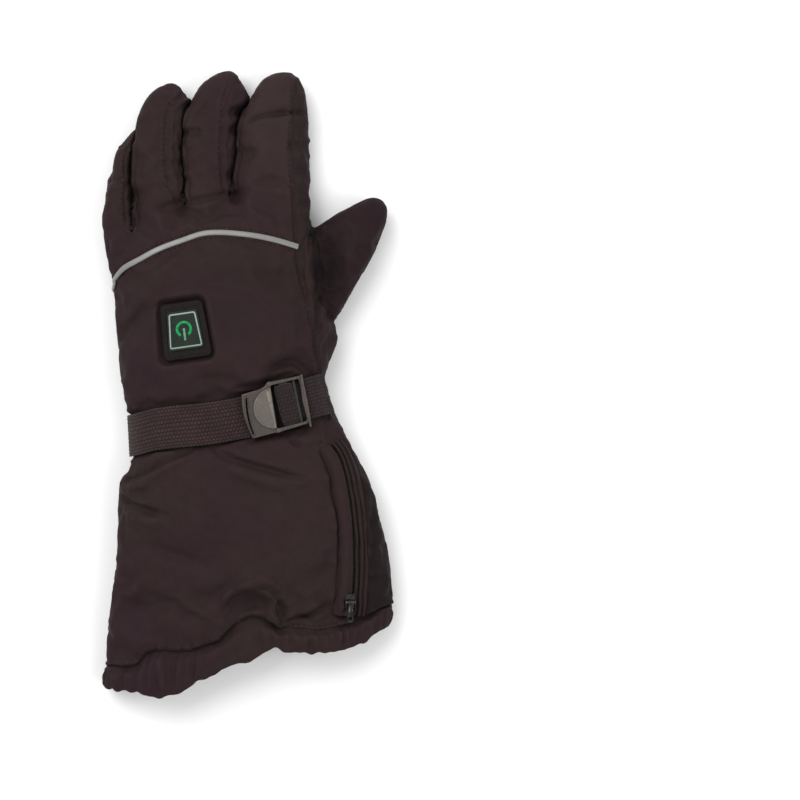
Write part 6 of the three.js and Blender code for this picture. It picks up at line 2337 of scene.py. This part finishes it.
def make_welt(name, section, seed, node, material):
    """A strip that waves a little, leaves room for the slider and sinks at both ends."""
    spots, ups = zip_path()
    smooth = dense(np.concatenate([section, section[:1]]), WELT_STEP)[:-1]
    run = path_length(spots)
    sections = np.repeat(smooth[None], len(run), axis=0)
    count = len(smooth)
    way = np.sign(section[:, 0].mean())
    across = np.tile(smooth[:, 0], len(run))
    where = np.column_stack([np.repeat(run, count), across, np.zeros(len(across))])
    wave = noise_at(where / np.array([1, 0.5, 1]), WELT_WAVE_SIZE, seed).reshape(len(run), count)
    small = noise_at(where, WELT_RIPPLE_SIZE, seed + 1).reshape(len(run), count)
    rise = np.clip((smooth[:, 1] + 0.6) / 1.6, 0, 1)
    sections[..., 1] += (0.6 * wave + 0.25 * small) * rise
    sections[..., 0] += 0.4 * wave * rise * way
    beside_slider = 1 - smoothstep(run, 0, SLIDER_LENGTH)[:, None]
    short = np.maximum(SLIDER_ROOM - sections[..., 0] * way, 0)
    sections[..., 0] += way * short * beside_slider * 0.92
    sections[..., 1] -= (1 - smoothstep(run, 0, 5))[:, None] * LOWER_END_SINK
    sections[..., 1] -= (1 - smoothstep(run[-1] - run, 0, 10))[:, None] * UPPER_END_SINK
    piece = mesh_object(name, *swept(spots, ups, sections), material)
    finish_piece(piece, "shell_cloth", node, fill=0.3)


make_tape("zip_tape_left", -6.4, -0.3, "zip_tape_hand")
make_tape("zip_tape_right", 0.3, 6.4, "zip_tape_thumb")
make_coil()
make_welt("welt_left", HAND_WELT, 21, "zip_welt_hand", SHELL)
make_welt("welt_right", THUMB_WELT, 25, "zip_welt_thumb", SIDE)

# The slider and its pull: outlines in the slider's seat, with x towards the hem
SLIDER_HIGH = 3.2
PIN_HEIGHT = 4.8
PIN_RADIUS = 0.5
PULL_HALF = 1.9
EAR_HALF = 0.42
SHIELD = [(-4.5, -2.6), (-1.0, -3.3), (2.6, -2.7), (4.5, -1.9), (4.5, 1.9), (2.6, 2.7), (-1.0, 3.3),
          (-4.5, 2.6)]
SLIDER_NECK = [(-3.6, -1.0), (-0.8, -1.0), (-0.8, 1.0), (-3.6, 1.0)]
EAR = [(-1.25, 2.9), (1.25, 2.9), (1.05, PIN_HEIGHT + 0.75), (-1.05, PIN_HEIGHT + 0.75)]
PULL = [(1.2, -1.15), (4.2, -1.35), (6.0, -PULL_HALF), (11.0, -PULL_HALF), (12.0, -1.0), (12.0, 1.0),
        (11.0, PULL_HALF), (6.0, PULL_HALF), (4.2, 1.35), (1.2, 1.15)]


def circle(radius, count, middle=(0.0, 0.0)):
    return arc(radius, 0, 360, count + 1, middle)[:-1]


def make_slider():
    shield = rounded(SHIELD, 0.8, 5)
    parts = [
        plate(shield, 1.9, SLIDER_HIGH, 0.45, steps=4),
        plate(inset(shield, 0.3), -0.9, 0.1, 0.3, steps=3),
        plate(rounded(SLIDER_NECK, 0.4, 4), -0.4, 2.2, 0.1, steps=2),
    ]
    for side in (-1, 1):
        flange = [(-4.3, side * 2.5), (4.0, side * 2.0), (4.0, side * 2.7), (-4.3, side * 3.1)][::side]
        parts.append(plate(rounded(flange, 0.25, 4), 0.9, 2.3, 0.15, steps=2))
        ear = plate(rounded(EAR, 0.6, 5), -EAR_HALF, EAR_HALF, 0.18, steps=3)
        parts.append(upright(ear, side * (PULL_HALF + 0.75)))
    parts.append(bar(PIN_RADIUS, -PULL_HALF - 1.0, PULL_HALF + 1.0, PIN_HEIGHT))
    seated("slider_body", joined(*parts), SLIDER_SEAT, METAL, "zip_metal", "zip_slider")


def make_pull():
    outline = rounded(PULL, 0.55, 5)
    blade = plate(outline, PIN_HEIGHT - 0.5, PIN_HEIGHT + 0.5, 0.25, [circle(0.95, 24, (9.6, 0.0))], 3)
    border = plate(inset(outline, 0.35), PIN_HEIGHT + 0.4, PIN_HEIGHT + 0.68, 0.1, [inset(outline, 0.85)], 2)
    hub = upright(plate(circle(1.3, 32), -1.5, 1.5, 0.25, [circle(0.72, 24)], 3), z=PIN_HEIGHT)
    pull = joined(blade, border, hub)
    seated("pull_tab", pull, SLIDER_SEAT, METAL, "zip_metal", "zip_pull", body="zip_pull")


make_slider()
make_pull()


# Stitches
STITCH_LENGTH = 2.3
STITCH_GAP = 3.1
STITCH_RADIUS = 0.22


# Along a stitch: share of its length, height and thickness of the thread
STITCH_ROWS = ((0, -0.4, 0.5), (0.16, -0.05, 1.0), (0.5, 0.06, 1.0), (0.84, -0.05, 1.0), (1, -0.4, 0.5))
LOWEST_STITCH = 12
STEEPEST_STITCH = 1.6
TACK_RADIUS = 0.24
TACK_ROWS = 6
TACK_STEP = 0.4


def stitch(start, end, up, radius=STITCH_RADIUS):
    """One stitch: a short thread that dives into the cloth at both ends."""
    forward = end - start
    length = np.linalg.norm(forward)
    forward = forward / length
    side = np.cross(forward, up)
    side /= np.linalg.norm(side)
    angles = full_turn(6)
    rings = []
    for f, lift, size in STITCH_ROWS:
        centre = start + forward * length * f + up * lift
        rings.append(centre + radius * size * (np.cos(angles)[:, None] * up + np.sin(angles)[:, None] * side))
    return tube(rings)


def beside_line(line, offset):
    """A line in plan moved to its left by an offset."""
    curve = dense(line)
    return curve + offset * to_left(directions(curve))


def stitch_row(line, offset, low=(-200, -200), high=(200, 200)):
    """Stitches on the top of the cloth beside a line, between two corners of the plan."""
    curve = beside_line(line, offset)
    curve = curve[((curve > low) & (curve < high)).all(1)]
    run = path_length(curve)
    parts = []
    for start in np.arange(0.5, run[-1] - STITCH_LENGTH, STITCH_GAP):
        ends = []
        for place in (start, start + STITCH_LENGTH):
            x, y = (np.interp(place, run, curve[:, k]) for k in range(2))
            hit, normal = seen_from_above(cloth_tree, x, y)
            if hit is None or hit.z < LOWEST_STITCH:
                break
            ends.append((np.array(hit), np.array(normal)))
        if len(ends) == 2 and abs(ends[0][0][2] - ends[1][0][2]) < STEEPEST_STITCH:
            up = ends[0][1] + ends[1][1]
            parts.append(stitch(ends[0][0], ends[1][0], up / np.linalg.norm(up)))
    return parts


def bar_tack(x, y, width, turn):
    """A dense row of short stitches that locks the end of a seam."""
    parts = []
    heading = np.array([math.cos(math.radians(turn)), math.sin(math.radians(turn))])
    step = np.array([-heading[1], heading[0]])
    for k in range(TACK_ROWS):
        middle = np.array([x, y]) + step * (k - (TACK_ROWS - 1) / 2) * TACK_STEP
        ends = []
        for sign in (-1, 1):
            hit, _ = seen_from_above(cloth_tree, *(middle + sign * heading * width / 2))
            ends.append(np.array(hit))
        first, second = ends
        first[2] = second[2] = max(first[2], second[2]) - 0.1
        parts.append(stitch(first, second, np.array([0, 0, 1.0]), TACK_RADIUS))
    return parts


def make_stitches():
    parts = []
    parts += stitch_row(PIPING_SEAM, 3.0, (-78, 0), (24, 200))
    parts += stitch_row(PIPING_SEAM, -3.0, (-78, 0), (26, 200))
    parts += stitch_row(SIDE_SEAM, -1.9, (0, -4), (60, 172))
    parts += stitch_row(HEM_SEAM, 3.2, (-80, -200), (78, 0))
    for seam, tip in zip(FOURCHETTE_SEAMS, (172, 166, 140)):
        parts += stitch_row(seam, -1.8, (-200, seam[-1, 1] + 4), (200, tip))
    parts += stitch_row(ZIP_LINE, 12.0)
    for x, y, width, turn in ((-37.3, 106.2, 3.8, 2), (-9.8, 112.4, 3.6, 8), (-67.2, 90.2, 3.4, 6)):
        parts += bar_tack(x, y, width, turn)
    finish_piece(mesh_object("seam_stitches", *joined(*parts), THREAD), "shell_cloth")


make_stitches()


# Stage. The camera looks straight down on the glove, which is left of the middle of a square picture.
PICTURE_SIZE = 800
PIXEL_MM = 0.58
ORIGIN_PIXEL = (248.5, 384)
LOOK_AT = np.array([
    (PICTURE_SIZE / 2 - ORIGIN_PIXEL[0]) * PIXEL_MM,
    (ORIGIN_PIXEL[1] - PICTURE_SIZE / 2) * PIXEL_MM,
    20.0,
])
CAMERA_HEIGHT = 2.2
SENSOR = 36
FLOOR_HALF = 3
FLOOR_DROP = 0.0002

# Lights: place, size and power
LIGHTS = {"key": ((-0.6, 0.8, 1.4), 1.3, 24), "fill": ((1.0, -0.4, 1.2), 1.2, 10)}


def make_stage():
    floor_mesh = bpy.data.meshes.new("floor")
    corners = [(x * FLOOR_HALF, y * FLOOR_HALF, 0) for x, y in ((-1, -1), (1, -1), (1, 1), (-1, 1))]
    floor_mesh.from_pydata(corners, [], [(0, 1, 2, 3)])
    floor = bpy.data.objects.new("floor", floor_mesh)
    bpy.context.scene.collection.objects.link(floor)
    floor.location.z = -FLOOR_DROP
    material = bpy.data.materials.new("floor_paper")
    material.use_nodes = True
    shader = material.node_tree.nodes["Principled BSDF"]
    shader.inputs["Base Color"].default_value = (0.85, 0.85, 0.85, 1)
    shader.inputs["Roughness"].default_value = 0.9
    floor.data.materials.append(material)
    target = Vector((LOOK_AT + CENTRING) * MM)
    data = bpy.data.cameras.new("camera")
    data.lens = SENSOR * (CAMERA_HEIGHT - target.z) / (PICTURE_SIZE * PIXEL_MM * MM)
    data.sensor_width = SENSOR
    camera = bpy.data.objects.new("camera", data)
    camera.location = (target.x, target.y, CAMERA_HEIGHT)
    bpy.context.scene.collection.objects.link(camera)
    bpy.context.scene.camera = camera


def make_lights():
    world = bpy.data.worlds.new("studio")
    bpy.context.scene.world = world
    world.use_nodes = True
    world.node_tree.nodes["Background"].inputs["Color"].default_value = (1, 1, 1, 1)
    world.node_tree.nodes["Background"].inputs["Strength"].default_value = 0.75
    for name, (place, size, power) in LIGHTS.items():
        light = bpy.data.lights.new(name, "AREA")
        light.size = size
        light.energy = power
        obj = bpy.data.objects.new(name, light)
        obj.location = place
        obj.rotation_euler = Vector(place).to_track_quat("Z", "Y").to_euler()
        bpy.context.scene.collection.objects.link(obj)


make_stage()
make_lights()
bpy.context.scene.view_settings.view_transform = "Standard"
